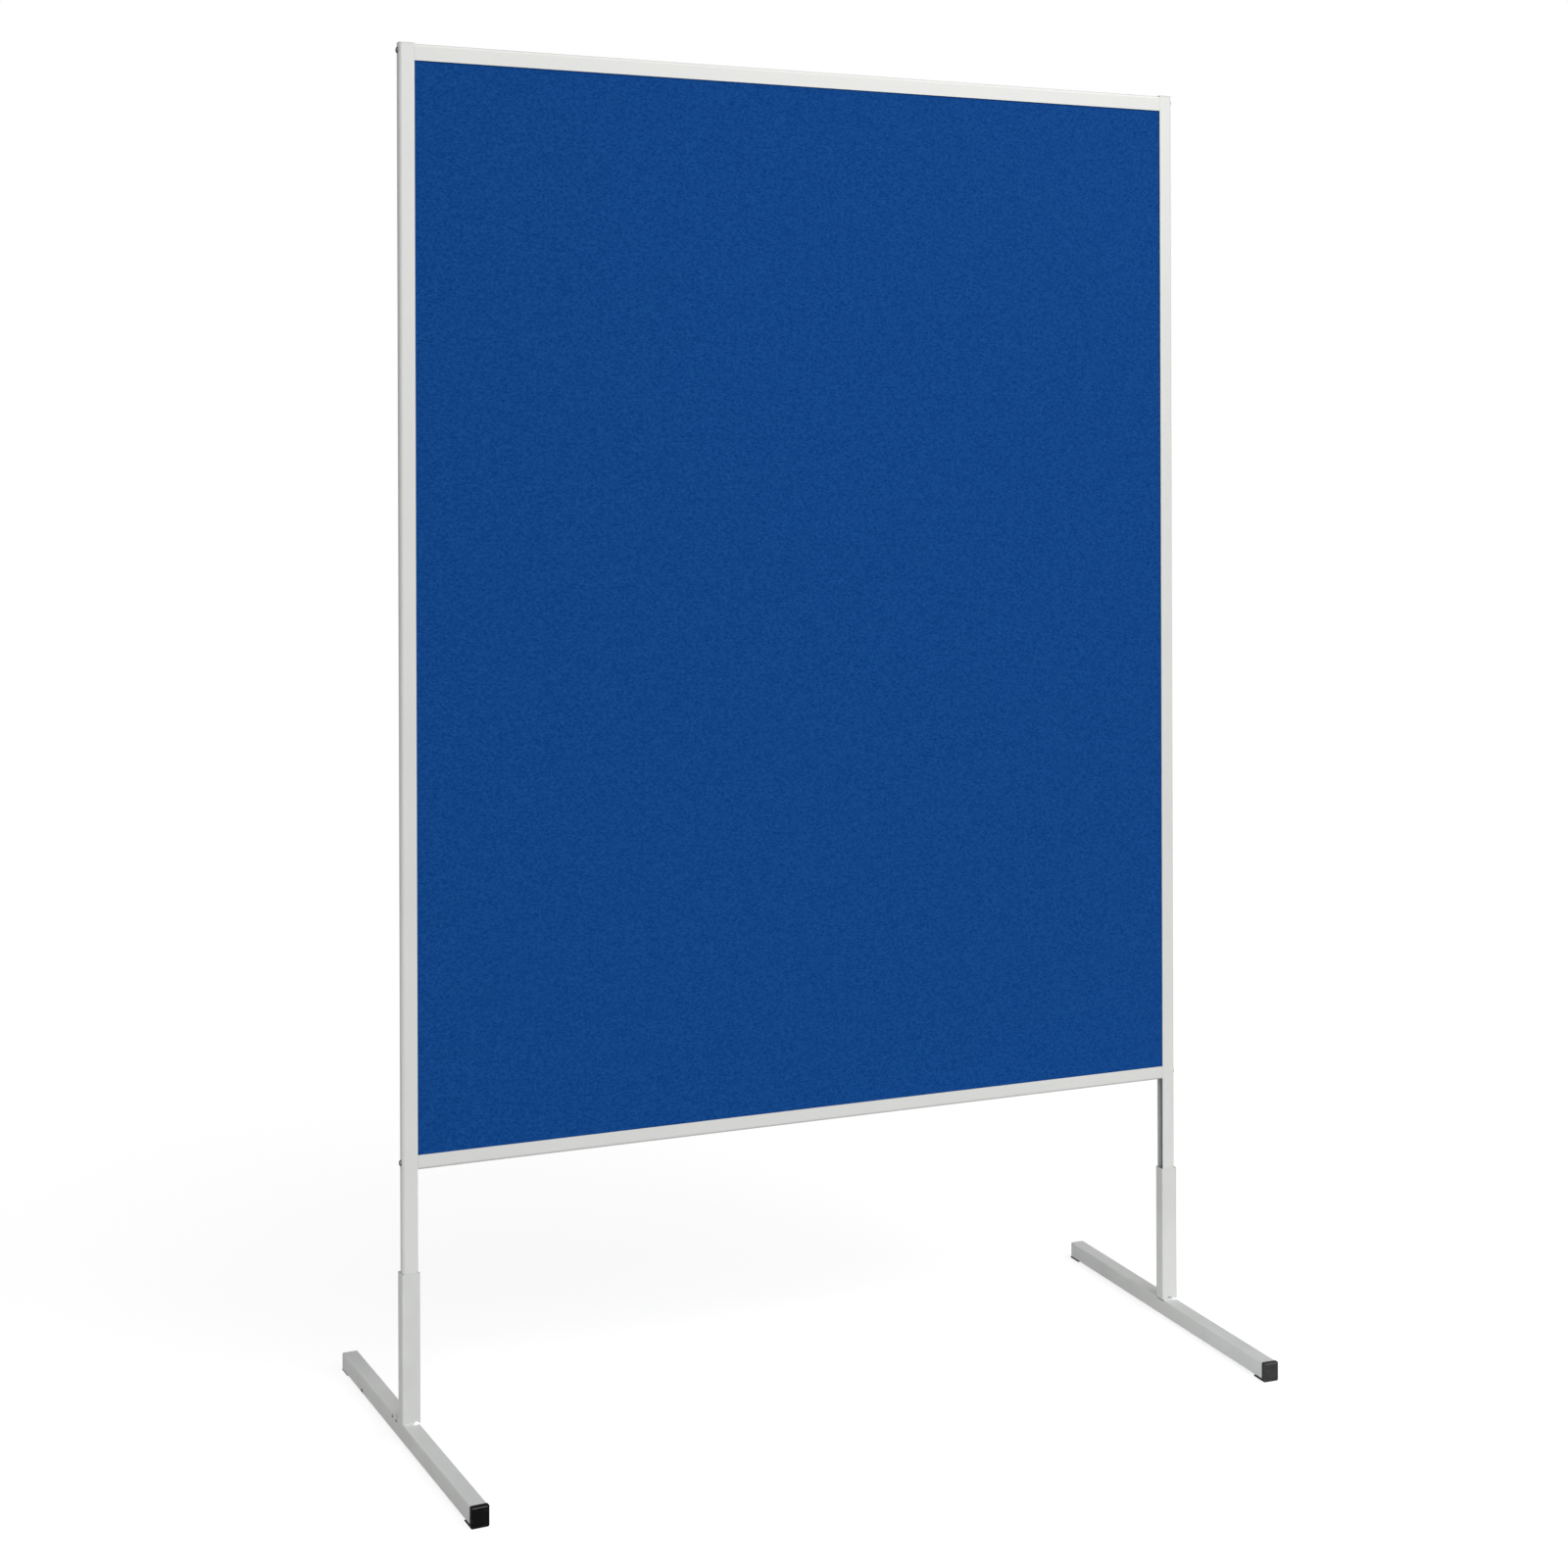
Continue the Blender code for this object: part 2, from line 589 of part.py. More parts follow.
def add_foot(name, side, materials):
    """Add a foot on an empty that stands under the stile, turned in by the sleeve's play."""
    foot = bpy.data.objects.new(f"{name}_foot", None)
    bpy.context.collection.objects.link(foot)
    foot.location = (side * STILE_AXIS, 0, 0)
    foot.rotation_euler = (0, 0, -side * FOOT_TURN)
    add_sleeve(f"{name}_sleeve", foot, materials["coat"])
    add_crossbar(f"{name}_crossbar", side, foot, materials["coat"])
    for end_name, facing in (("front", -1), ("rear", 1)):
        add_weld(f"{name}_{end_name}_weld", facing, foot, materials["coat"])
        add_end_cap(f"{name}_{end_name}_cap", facing, foot, materials["black"])
    profile = screw_profile(
        FOOT_SCREW_SHANK_RADIUS, FOOT_SCREW_HEAD_RADIUS, FOOT_SCREW_HEAD_HEIGHT, FOOT_SCREW_LENGTH,
    )
    for screw_name, back in FOOT_SCREW_BACKS.items():
        place = (side * (CROSSBAR_WIDTH / 2 + GAP), back, CROSSBAR_TOP - FOOT_SCREW_DROP)
        add_screw(f"{name}_{screw_name}_foot_screw", place, side, profile, materials["steel"], foot)


def main():
    """Build the whole pinboard."""
    clear_scene()
    materials = {
        "frame": make_material("frame_silver", (0.64, 0.64, 0.62), 0.38, 0.3),
        "coat": make_material("foot_coat", (0.56, 0.57, 0.56), 0.45),
        "felt": make_material("blue_felt", (0.006, 0.058, 0.24), 0.95),
        "core": make_material("board_core", (0.50, 0.38, 0.24), 0.85),
        "cap": make_material("cap_grey", (0.60, 0.60, 0.58), 0.5),
        "black": make_material("black_plastic", (0.012, 0.012, 0.012), 0.4),
        "steel": make_material("screw_steel", (0.45, 0.45, 0.44), 0.3, 1.0),
    }
    for side, name in ((LEFT, "left"), (RIGHT, "right")):
        add_stile(f"{name}_stile", side, materials["frame"])
        add_stile_cap(f"{name}_stile_cap", side, materials["cap"])
        add_foot(name, side, materials)
    add_rail("top_rail", TOP_RAIL_FACE, TOP_PORT_DEPTH, BOARD_TOP, 1, materials["frame"])
    add_rail("bottom_rail", BOTTOM_RAIL_FACE, BOTTOM_PORT_DEPTH, BOARD_BOTTOM, -1, materials["frame"])
    add_panel(materials["core"], materials["felt"])
    add_frame_screws(materials["steel"])


main()
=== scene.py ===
"""Free-standing pinboard: a felt-faced board in a metal frame on two plug-on feet.

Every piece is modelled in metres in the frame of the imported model: X along the board, the front felt
towards -Y, Z up, the floor at z = 0.
"""
from __future__ import annotations

import json
import logging
import math
from dataclasses import dataclass, field
from enum import Enum
from typing import Callable, Iterable, Sequence

import bmesh
import bpy
from mathutils import Matrix, Vector, noise

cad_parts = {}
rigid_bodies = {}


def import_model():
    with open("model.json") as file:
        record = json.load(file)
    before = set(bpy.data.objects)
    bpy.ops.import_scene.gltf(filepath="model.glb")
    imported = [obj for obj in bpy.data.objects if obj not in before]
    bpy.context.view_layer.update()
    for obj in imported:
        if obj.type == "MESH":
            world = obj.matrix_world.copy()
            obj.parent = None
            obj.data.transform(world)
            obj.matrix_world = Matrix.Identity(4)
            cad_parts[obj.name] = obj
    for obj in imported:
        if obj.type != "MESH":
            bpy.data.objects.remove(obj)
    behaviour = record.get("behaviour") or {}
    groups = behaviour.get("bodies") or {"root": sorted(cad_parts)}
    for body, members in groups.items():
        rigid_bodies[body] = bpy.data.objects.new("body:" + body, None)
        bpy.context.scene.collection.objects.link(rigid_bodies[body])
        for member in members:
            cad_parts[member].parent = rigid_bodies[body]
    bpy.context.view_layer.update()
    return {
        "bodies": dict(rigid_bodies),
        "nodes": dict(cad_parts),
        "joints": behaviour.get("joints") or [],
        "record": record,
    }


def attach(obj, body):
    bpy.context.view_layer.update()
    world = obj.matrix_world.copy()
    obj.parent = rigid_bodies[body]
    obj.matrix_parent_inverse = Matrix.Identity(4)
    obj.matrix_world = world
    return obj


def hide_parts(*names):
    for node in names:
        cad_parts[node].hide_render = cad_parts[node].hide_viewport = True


LOG = logging.getLogger("pinboard")

Point = Sequence[float]
Colour = tuple[float, float, float]
Span = tuple[float, float]

GAP = 0.0003            # between two pieces that touch
SEAT = 0.00005          # under a cap or a screw's head that is pressed home
OVERRUN = 0.002         # how far a cutter reaches past what it cuts
ALIGNED = 0.9           # an edge or a normal with more than this share along an axis lies along it
STILE_FACE = 0.021      # a stile's width, seen from the front
STILE_AXIS = 0.5895     # from the middle of the board to the middle of a stile
FRAME_DEPTH = 0.016     # the frame's size from front to rear
FRAME_WALL = 0.0015     # the wall of its profiles
FRAME_ROUND = 0.004     # the radius of their outer edges
GROOVE_DEPTH = 0.005    # how deep the panel's groove goes in
PLAY = 0.0008           # between a stile and its sleeve, on each side
TURN_SHARE = 0.55       # how much of that play the feet are turned in by
FOOT_TURN = math.atan(TURN_SHARE * 2 * PLAY / STILE_FACE)


class Place(Enum):
    """An option that stands in the names of nodes and pieces."""

    @property
    def word(self) -> str:
        """Return the option as it stands in a name."""
        return self.name.lower()


class Side(Place):
    """The end of the board that a piece belongs to."""

    LEFT = -1
    RIGHT = 1


class Facing(Place):
    """The way that a piece looks along Y."""

    FRONT = -1
    REAR = 1


class Grain(Enum):
    """The axis along which a drawn profile's fine lines run."""

    ALONG_X = (6.0, 1500.0, 1500.0)
    ALONG_Z = (1500.0, 1500.0, 6.0)


class Bench:
    """Modelling steps, each made with Blender's own operators on one piece."""

    @staticmethod
    def clear() -> None:
        """Leave edit mode and select nothing."""
        if bpy.context.object and bpy.context.object.mode != "OBJECT":
            bpy.ops.object.mode_set(mode="OBJECT")
        bpy.ops.object.select_all(action="DESELECT")

    @staticmethod
    def take(piece: bpy.types.Object) -> None:
        """Make one piece the only one selected.

        Args:
            piece: the piece.
        """
        Bench.clear()
        piece.select_set(True)
        bpy.context.view_layer.objects.active = piece

    @staticmethod
    def settle(name: str) -> bpy.types.Object:
        """Name the new primitive and put its place in its mesh.

        Args:
            name: the piece's name.

        Returns:
            The piece.
        """
        piece = bpy.context.object
        piece.name = name
        piece.data.name = name
        bpy.ops.object.transform_apply(location=True, rotation=True, scale=True)
        return piece

    @staticmethod
    def block(name: str, low: Point, high: Point) -> bpy.types.Object:
        """Add a block.

        Args:
            name: the piece's name.
            low: its lowest corner.
            high: its highest corner.

        Returns:
            The block.
        """
        Bench.clear()
        low, high = Vector(low), Vector(high)
        bpy.ops.mesh.primitive_cube_add(size=1, location=(low + high) / 2, scale=high - low)
        return Bench.settle(name)

    @staticmethod
    def rod(name: str, start: Point, end: Point, radius: float, sides: int = 48) -> bpy.types.Object:
        """Add a round rod.

        Args:
            name: the piece's name.
            start: the middle of one end.
            end: the middle of the other end.
            radius: the rod's radius.
            sides: how many sides it has.

        Returns:
            The rod.
        """
        Bench.clear()
        start, end = Vector(start), Vector(end)
        turn = (end - start).to_track_quat("Z", "Y").to_euler()
        bpy.ops.mesh.primitive_cylinder_add(
            vertices=sides, radius=radius, depth=(end - start).length, location=(start + end) / 2,
            rotation=turn,
        )
        return Bench.settle(name)

    @staticmethod
    def pick_edges(piece: bpy.types.Object, test: Callable[[Vector, Vector], bool]) -> None:
        """Select edges in edit mode.

        Args:
            piece: the piece.
            test: says of an edge's middle and direction whether it is selected.
        """
        Bench.take(piece)
        bpy.ops.object.mode_set(mode="EDIT")
        bpy.ops.mesh.select_mode(type="EDGE")
        bpy.ops.mesh.select_all(action="DESELECT")
        shape = bmesh.from_edit_mesh(piece.data)
        for edge in shape.edges:
            first, last = (vert.co for vert in edge.verts)
            edge.select_set(test((first + last) / 2, (last - first).normalized()))
        bmesh.update_edit_mesh(piece.data)

    @staticmethod
    def pick_faces(piece: bpy.types.Object, test: Callable[[Vector, Vector], bool]) -> None:
        """Select faces in edit mode.

        Args:
            piece: the piece.
            test: says of a face's middle and normal whether it is selected.
        """
        Bench.take(piece)
        bpy.ops.object.mode_set(mode="EDIT")
        bpy.ops.mesh.select_mode(type="FACE")
        bpy.ops.mesh.select_all(action="DESELECT")
        shape = bmesh.from_edit_mesh(piece.data)
        for face in shape.faces:
            face.select_set(test(face.calc_center_median(), face.normal))
        bmesh.update_edit_mesh(piece.data)

    @staticmethod
    def round_edges(
        piece: bpy.types.Object, radius: float, steps: int, test: Callable[[Vector, Vector], bool],
    ) -> None:
        """Round some edges of a piece.

        Args:
            piece: the piece.
            radius: the rounding's radius.
            steps: how many faces it has.
            test: says of an edge's middle and direction whether it is rounded.
        """
        Bench.pick_edges(piece, test)
        bpy.ops.mesh.bevel(offset=radius, segments=steps, affect="EDGES")
        bpy.ops.object.mode_set(mode="OBJECT")

    @staticmethod
    def combine(piece: bpy.types.Object, tool: bpy.types.Object, operation: str) -> None:
        """Cut a piece with a tool, or join the two, and throw the tool away.

        Args:
            piece: the piece.
            tool: the other mesh.
            operation: DIFFERENCE or UNION.
        """
        Bench.take(piece)
        change = piece.modifiers.new("combine", "BOOLEAN")
        change.operation = operation
        change.solver = "EXACT"
        change.object = tool
        bpy.ops.object.modifier_apply(modifier=change.name)
        bpy.data.objects.remove(tool, do_unlink=True)

    @staticmethod
    def soften(piece: bpy.types.Object, width: float, steps: int = 2, angle: float = 40.0) -> None:
        """Round all sharp edges a little and shade the piece smooth.

        Args:
            piece: the piece.
            width: the width of the rounding.
            steps: how many faces it has.
            angle: edges sharper than this, in degrees, are rounded.
        """
        Bench.take(piece)
        edge = piece.modifiers.new("edge", "BEVEL")
        edge.width = width
        edge.segments = steps
        edge.limit_method = "ANGLE"
        edge.angle_limit = math.radians(angle)
        edge.miter_outer = "MITER_ARC"
        bpy.ops.object.modifier_apply(modifier=edge.name)
        Bench.shade(piece)

    @staticmethod
    def shade(piece: bpy.types.Object, angle: float = 50.0) -> None:
        """Shade a piece smooth, with its flat faces kept flat.

        Args:
            piece: the piece.
            angle: edges sharper than this, in degrees, stay sharp.
        """
        Bench.take(piece)
        bpy.ops.object.shade_smooth_by_angle(angle=math.radians(angle))
        weight = piece.modifiers.new("weight", "WEIGHTED_NORMAL")
        weight.keep_sharp = True
        bpy.ops.object.modifier_apply(modifier=weight.name)

    @staticmethod
    def repeat(piece: bpy.types.Object, names: Sequence[str]) -> list[bpy.types.Object]:
        """Copy a piece, each copy with its own mesh.

        Args:
            piece: the piece, modelled round the origin.
            names: the names of all of them, of which the piece itself takes the first.

        Returns:
            The pieces in the order of their names.
        """
        pieces = [piece]
        while len(pieces) < len(names):
            Bench.take(piece)
            bpy.ops.object.duplicate(linked=False)
            pieces.append(bpy.context.object)
        for item, name in zip(pieces, names):
            item.name = name
            item.data.name = name
        return pieces

    @staticmethod
    def place(piece: bpy.types.Object, matrix: Matrix) -> None:
        """Move a piece to its place, and put the place in its mesh.

        Args:
            piece: the piece, modelled round the origin.
            matrix: its place in the model's frame.
        """
        Bench.take(piece)
        piece.matrix_world = matrix
        bpy.ops.object.transform_apply(location=True, rotation=True, scale=True)


class Graph:
    """A node tree, with short calls to add to it."""

    def __init__(self, owner: bpy.types.Material | bpy.types.World, output: str) -> None:
        """Start the tree with its output alone.

        Args:
            owner: the material or world that the tree belongs to.
            output: the output's type.
        """
        owner.use_nodes = True
        self.tree = owner.node_tree
        self.tree.nodes.clear()
        self.output = self.tree.nodes.new(output)

    def link(self, source: bpy.types.NodeSocket, target: bpy.types.NodeSocket) -> None:
        """Join two sockets, the first one an output."""
        self.tree.links.new(source, target)

    def add(self, kind: str, **settings: object) -> bpy.types.Node:
        """Add a node.

        Args:
            kind: the node's type.
            settings: its properties.

        Returns:
            The node.
        """
        node = self.tree.nodes.new(kind)
        for key, value in settings.items():
            setattr(node, key, value)
        return node

    def white(self, kind: str, strength: float) -> bpy.types.Node:
        """Add a white glow.

        Args:
            kind: the node's type, which has a colour and a strength.
            strength: how bright it is.

        Returns:
            The node.
        """
        node = self.add(kind)
        node.inputs["Color"].default_value = (1, 1, 1, 1)
        node.inputs["Strength"].default_value = strength
        return node

    def show(self, unseen: bpy.types.Node, seen: bpy.types.Node) -> None:
        """End the tree in two shaders, one of which only the camera sees.

        Args:
            unseen: the shader that lights other things and that they mirror.
            seen: the shader that is looked at directly.
        """
        mix = self.add("ShaderNodeMixShader")
        rays = self.add("ShaderNodeLightPath")
        self.link(rays.outputs["Is Camera Ray"], mix.inputs[0])
        self.link(unseen.outputs[0], mix.inputs[1])
        self.link(seen.outputs[0], mix.inputs[2])
        self.link(mix.outputs[0], self.output.inputs["Surface"])


class Nodes(Graph):
    """The node tree of a material on one of the object's pieces."""

    def __init__(self, name: str) -> None:
        """Start a material with a Principled shader.

        Args:
            name: the material's name.
        """
        self.material = bpy.data.materials.new(name)
        super().__init__(self.material, "ShaderNodeOutputMaterial")
        self.shader = self.add("ShaderNodeBsdfPrincipled")
        self.link(self.shader.outputs["BSDF"], self.output.inputs["Surface"])

    def coordinates(self, scale: Point = (1, 1, 1), turn: Point = (0, 0, 0)) -> bpy.types.NodeSocket:
        """Add the piece's own coordinates.

        Args:
            scale: what they are multiplied by.
            turn: the angles that they are turned by.

        Returns:
            The coordinates.
        """
        source = self.add("ShaderNodeTexCoord")
        mapping = self.add("ShaderNodeMapping")
        mapping.inputs["Scale"].default_value = scale
        mapping.inputs["Rotation"].default_value = turn
        self.link(source.outputs["Object"], mapping.inputs["Vector"])
        return mapping.outputs["Vector"]

    def split(self, where: bpy.types.NodeSocket) -> tuple[bpy.types.NodeSocket, ...]:
        """Take coordinates apart.

        Args:
            where: the coordinates.

        Returns:
            Their X, Y and Z.
        """
        parts = self.add("ShaderNodeSeparateXYZ")
        self.link(where, parts.inputs["Vector"])
        return tuple(parts.outputs)

    def noise(
        self, where: bpy.types.NodeSocket, scale: float, detail: float = 3.0, rough: float = 0.5,
        warp: float = 0.0,
    ) -> bpy.types.NodeSocket:
        """Add a noise texture.

        Args:
            where: the coordinates.
            scale: how many features it has to the metre.
            detail: how many finer layers it has.
            rough: how strong the finer layers are.
            warp: how much it is distorted.

        Returns:
            The noise, about 0.5.
        """
        node = self.add("ShaderNodeTexNoise")
        node.inputs["Scale"].default_value = scale
        node.inputs["Detail"].default_value = detail
        node.inputs["Roughness"].default_value = rough
        node.inputs["Distortion"].default_value = warp
        self.link(where, node.inputs["Vector"])
        return node.outputs["Fac"]

    def math(self, operation: str, *values: float | bpy.types.NodeSocket) -> bpy.types.NodeSocket:
        """Add a sum.

        Args:
            operation: the sum's name.
            values: numbers or sockets.

        Returns:
            The result.
        """
        node = self.add("ShaderNodeMath", operation=operation)
        for socket, value in zip(node.inputs, values):
            if isinstance(value, bpy.types.NodeSocket):
                self.link(value, socket)
            else:
                socket.default_value = value
        return node.outputs["Value"]

    def product(self, *factors: float | bpy.types.NodeSocket) -> bpy.types.NodeSocket:
        """Multiply several masks.

        Args:
            factors: numbers or sockets, at least two.

        Returns:
            Their product.
        """
        total = factors[0]
        for factor in factors[1:]:
            total = self.math("MULTIPLY", total, factor)
        return total

    def spread(
        self, value: bpy.types.NodeSocket, low: float, high: float, to_low: float = 0.0, to_high: float = 1.0,
    ) -> bpy.types.NodeSocket:
        """Map a range of values to another, and stop at its ends.

        Args:
            value: the value.
            low: where its range starts.
            high: where its range ends.
            to_low: what low becomes.
            to_high: what high becomes.

        Returns:
            The mapped value.
        """
        node = self.add("ShaderNodeMapRange", clamp=True)
        for socket, number in zip(list(node.inputs)[1:5], (low, high, to_low, to_high)):
            socket.default_value = number
        self.link(value, node.inputs["Value"])
        return node.outputs["Result"]

    def blend(
        self, factor: bpy.types.NodeSocket, first: Colour | bpy.types.NodeSocket,
        second: Colour | bpy.types.NodeSocket,
    ) -> bpy.types.NodeSocket:
        """Mix two colours.

        Args:
            factor: how much of the second one shows.
            first: a colour or a socket.
            second: a colour or a socket.

        Returns:
            The mixed colour.
        """
        node = self.add("ShaderNodeMix", data_type="RGBA")
        self.link(factor, node.inputs[0])
        for socket, value in ((node.inputs[6], first), (node.inputs[7], second)):
            if isinstance(value, bpy.types.NodeSocket):
                self.link(value, socket)
            else:
                socket.default_value = (*value, 1.0)
        return node.outputs[2]

    def bump(self, layers: Iterable[tuple[bpy.types.NodeSocket, float, float]]) -> None:
        """Give the surface its relief.

        Args:
            layers: for each layer its height, strength and depth in metres.
        """
        normal = None
        for height, strength, depth in layers:
            node = self.add("ShaderNodeBump")
            node.inputs["Strength"].default_value = strength
            node.inputs["Distance"].default_value = depth
            self.link(height, node.inputs["Height"])
            if normal is not None:
                self.link(normal, node.inputs["Normal"])
            normal = node.outputs["Normal"]
        self.link(normal, self.shader.inputs["Normal"])

    def set(self, **values: float | Colour) -> None:
        """Set sockets of the shader.

        Args:
            values: a number or colour for each socket, with _ for a space in the socket's name.
        """
        for key, value in values.items():
            socket = self.shader.inputs[key.replace("_", " ")]
            socket.default_value = (*value, 1.0) if isinstance(value, tuple) else value


@dataclass(frozen=True)
class DrawnMetal:
    """Satin silver-grey aluminium profile with the fine lines of its drawing.

    Where groove is given, shade is painted on the groove's bottom, nearer to the middle than its first number
    along X and its second along Y.
    """

    name: str
    grain: Grain
    slot: str = "frame"
    light: Colour = (0.686, 0.691, 0.667)
    dark: Colour = (0.656, 0.663, 0.642)
    mark: Colour = (0.595, 0.60, 0.585)
    bare: Colour = (0.145, 0.170, 0.205)
    metallic: float = 0.10
    groove: Span | None = None

    def inside(self, nodes: Nodes) -> bpy.types.NodeSocket:
        """Mark the bottom of the groove, where shade is painted.

        Args:
            nodes: the material's nodes.

        Returns:
            1 there and 0 elsewhere.
        """
        x, y, _ = nodes.split(nodes.coordinates())
        across = nodes.math("LESS_THAN", nodes.math("ABSOLUTE", x), self.groove[0])
        deep = nodes.math("LESS_THAN", nodes.math("ABSOLUTE", y), self.groove[1])
        return nodes.product(across, deep)

    def material(self) -> bpy.types.Material:
        """Build the finish: drawn lines under clouds and specks.

        Returns:
            The material.
        """
        nodes = Nodes(self.name)
        plain = nodes.coordinates()
        lines = nodes.noise(nodes.coordinates(self.grain.value), 1.0, detail=4.0, rough=0.6)
        cloud = nodes.noise(plain, 9.0, detail=4.0, rough=0.55)
        speck = nodes.spread(nodes.noise(plain, 900.0, detail=2.0, rough=0.6), 0.66, 0.74)
        tone = nodes.math("MULTIPLY_ADD", lines, 0.55, nodes.math("MULTIPLY", cloud, 0.45))
        colour = nodes.blend(nodes.spread(tone, 0.36, 0.64), self.dark, self.light)
        colour = nodes.blend(speck, colour, self.mark)
        if self.groove:
            # painted shade at the bottom of the groove
            colour = nodes.blend(self.inside(nodes), colour, self.bare)
        nodes.link(colour, nodes.shader.inputs["Base Color"])
        rough = nodes.math("MULTIPLY_ADD", lines, 0.16, nodes.math("MULTIPLY_ADD", cloud, 0.12, 0.32))
        nodes.link(rough, nodes.shader.inputs["Roughness"])
        nodes.bump([(lines, 0.10, 0.00004), (nodes.noise(plain, 1400.0, detail=2.0), 0.05, 0.00004)])
        nodes.set(Metallic=self.metallic, Specular_IOR_Level=0.35)
        return nodes.material


@dataclass(frozen=True)
class PowderCoat:
    """Light grey powder coat on steel, with its orange peel.

    The seam under the right sleeve's inner side isn't welded and has a painted shadow; the left crossbar's
    lower edge at the vent hole has painted shade. Each span is a middle and its reach to both sides.
    """

    name: str = "foot_coat"
    slot: str = "coat"
    light: Colour = (0.630, 0.638, 0.622)
    dark: Colour = (0.585, 0.593, 0.578)
    fleck: Colour = (0.53, 0.54, 0.53)
    shadow: Colour = (0.050, 0.045, 0.055)
    seam_across: Span = (0.5770, 0.0020)
    seam_along: Span = (0.0, 0.0102)
    seam_level: Span = (0.0267, 0.0012)
    seam_waver: float = 0.001
    # where the painted shade of the vent hole lies, along the crossbar's lower outer edge
    stain_side: float = -0.6060
    stain_along: Span = (0.190, 0.008)
    stain_slope: float = 0.15
    stain_level: float = -0.0228

    def unwelded(self, nodes: Nodes, plain: bpy.types.NodeSocket) -> bpy.types.NodeSocket:
        """Mark the open seam under the right sleeve's inner side, where a shadow is painted.

        Args:
            nodes: the material's nodes.
            plain: the piece's coordinates.

        Returns:
            1 on the seam and 0 elsewhere.
        """
        x, y, z = nodes.split(plain)
        across = nodes.math("COMPARE", x, *self.seam_across)
        along = nodes.math("COMPARE", y, *self.seam_along)
        waver = nodes.noise(plain, 300.0, detail=2.0, rough=0.5)
        level = nodes.math("COMPARE", nodes.math("MULTIPLY_ADD", waver, self.seam_waver, z), *self.seam_level)
        return nodes.product(across, along, level)

    def stained(self, nodes: Nodes, plain: bpy.types.NodeSocket) -> bpy.types.NodeSocket:
        """Mark the wedge of painted shade along the left crossbar's lower outer edge, at the vent hole.

        Args:
            nodes: the material's nodes.
            plain: the piece's coordinates.

        Returns:
            1 on the wedge and 0 elsewhere.
        """
        x, y, z = nodes.split(plain)
        outer = nodes.math("LESS_THAN", x, self.stain_side)
        along = nodes.math("COMPARE", y, *self.stain_along)
        low = nodes.math("LESS_THAN", nodes.math("MULTIPLY_ADD", y, -self.stain_slope, z), self.stain_level)
        return nodes.product(outer, along, low)

    def material(self) -> bpy.types.Material:
        """Build the finish: orange peel and flecks, with the painted shadow at the seam and the painted shade
        at the vent hole.
        """
        nodes = Nodes(self.name)
        plain = nodes.coordinates()
        cloud = nodes.noise(plain, 14.0, detail=4.0, rough=0.55)
        peel = nodes.noise(plain, 620.0, detail=2.0, rough=0.45)
        grit = nodes.noise(plain, 2600.0, detail=2.0, rough=0.5)
        colour = nodes.blend(nodes.spread(cloud, 0.35, 0.65), self.dark, self.light)
        colour = nodes.blend(nodes.spread(grit, 0.62, 0.72), colour, self.fleck)
        # painted shadow in the open seam under the right sleeve's inner side
        colour = nodes.blend(self.unwelded(nodes, plain), colour, self.shadow)
        # painted shade of the vent hole along the crossbar's lower edge
        colour = nodes.blend(self.stained(nodes, plain), colour, self.shadow)
        nodes.link(colour, nodes.shader.inputs["Base Color"])
        rough = nodes.math("MULTIPLY_ADD", peel, 0.14, nodes.math("MULTIPLY_ADD", cloud, 0.12, 0.28))
        nodes.link(rough, nodes.shader.inputs["Roughness"])
        nodes.bump([(peel, 0.22, 0.00012), (grit, 0.06, 0.00003)])
        nodes.set(Specular_IOR_Level=0.45)
        return nodes.material


@dataclass(frozen=True)
class BeadCoat:
    """Powder coat on the weld beads: a painted highlight at their right ends, and painted shade in pits on
    the right foot.

    Each span says where a fade starts and ends.
    """

    name: str = "bead_coat"
    slot: str = "coat"
    thin: Colour = (0.60, 0.61, 0.61)
    pooled: Colour = (0.92, 0.93, 0.93)
    pit: Colour = (0.16, 0.19, 0.21)
    pool_start: Span = (0.006, 0.009)
    pool_waver: float = 0.008
    pit_level: Span = (0.0283, 0.0293)

    def pooling(self, nodes: Nodes, plain: bpy.types.NodeSocket) -> bpy.types.NodeSocket:
        """Mark the right end of each bead, where a highlight is painted.

        Args:
            nodes: the material's nodes.
            plain: the piece's coordinates.

        Returns:
            1 on the painted highlight and 0 elsewhere.
        """
        x = nodes.split(plain)[0]
        along = nodes.math("MULTIPLY_ADD", nodes.math("SIGN", x), -STILE_AXIS, x)
        waver = nodes.noise(plain, 240.0, detail=2.0, rough=0.5)
        return nodes.spread(nodes.math("MULTIPLY_ADD", waver, self.pool_waver, along), *self.pool_start)

    def pitted(self, nodes: Nodes, plain: bpy.types.NodeSocket) -> bpy.types.NodeSocket:
        """Mark the pits, which lie high on the right foot's beads and where shade is painted.

        Args:
            nodes: the material's nodes.
            plain: the piece's coordinates.

        Returns:
            1 in a pit's painted shade and 0 elsewhere.
        """
        x, _, z = nodes.split(plain)
        pits = nodes.spread(nodes.noise(plain, 330.0, detail=2.0, rough=0.5), 0.46, 0.54)
        high = nodes.spread(z, *self.pit_level)
        return nodes.product(pits, high, nodes.math("GREATER_THAN", x, 0.0))

    def material(self) -> bpy.types.Material:
        """Build the finish: orange peel, with the painted highlight and the painted shade in the pits.
        """
        nodes = Nodes(self.name)
        plain = nodes.coordinates()
        peel = nodes.noise(plain, 620.0, detail=2.0, rough=0.45)
        # painted highlight at each bead's right end
        colour = nodes.blend(self.pooling(nodes, plain), self.thin, self.pooled)
        # painted shade in the pits high on the right foot's beads
        colour = nodes.blend(self.pitted(nodes, plain), colour, self.pit)
        nodes.link(colour, nodes.shader.inputs["Base Color"])
        nodes.link(nodes.spread(peel, 0.3, 0.7, 0.28, 0.42), nodes.shader.inputs["Roughness"])
        nodes.bump([(peel, 0.22, 0.00012)])
        nodes.set(Specular_IOR_Level=0.45)
        return nodes.material


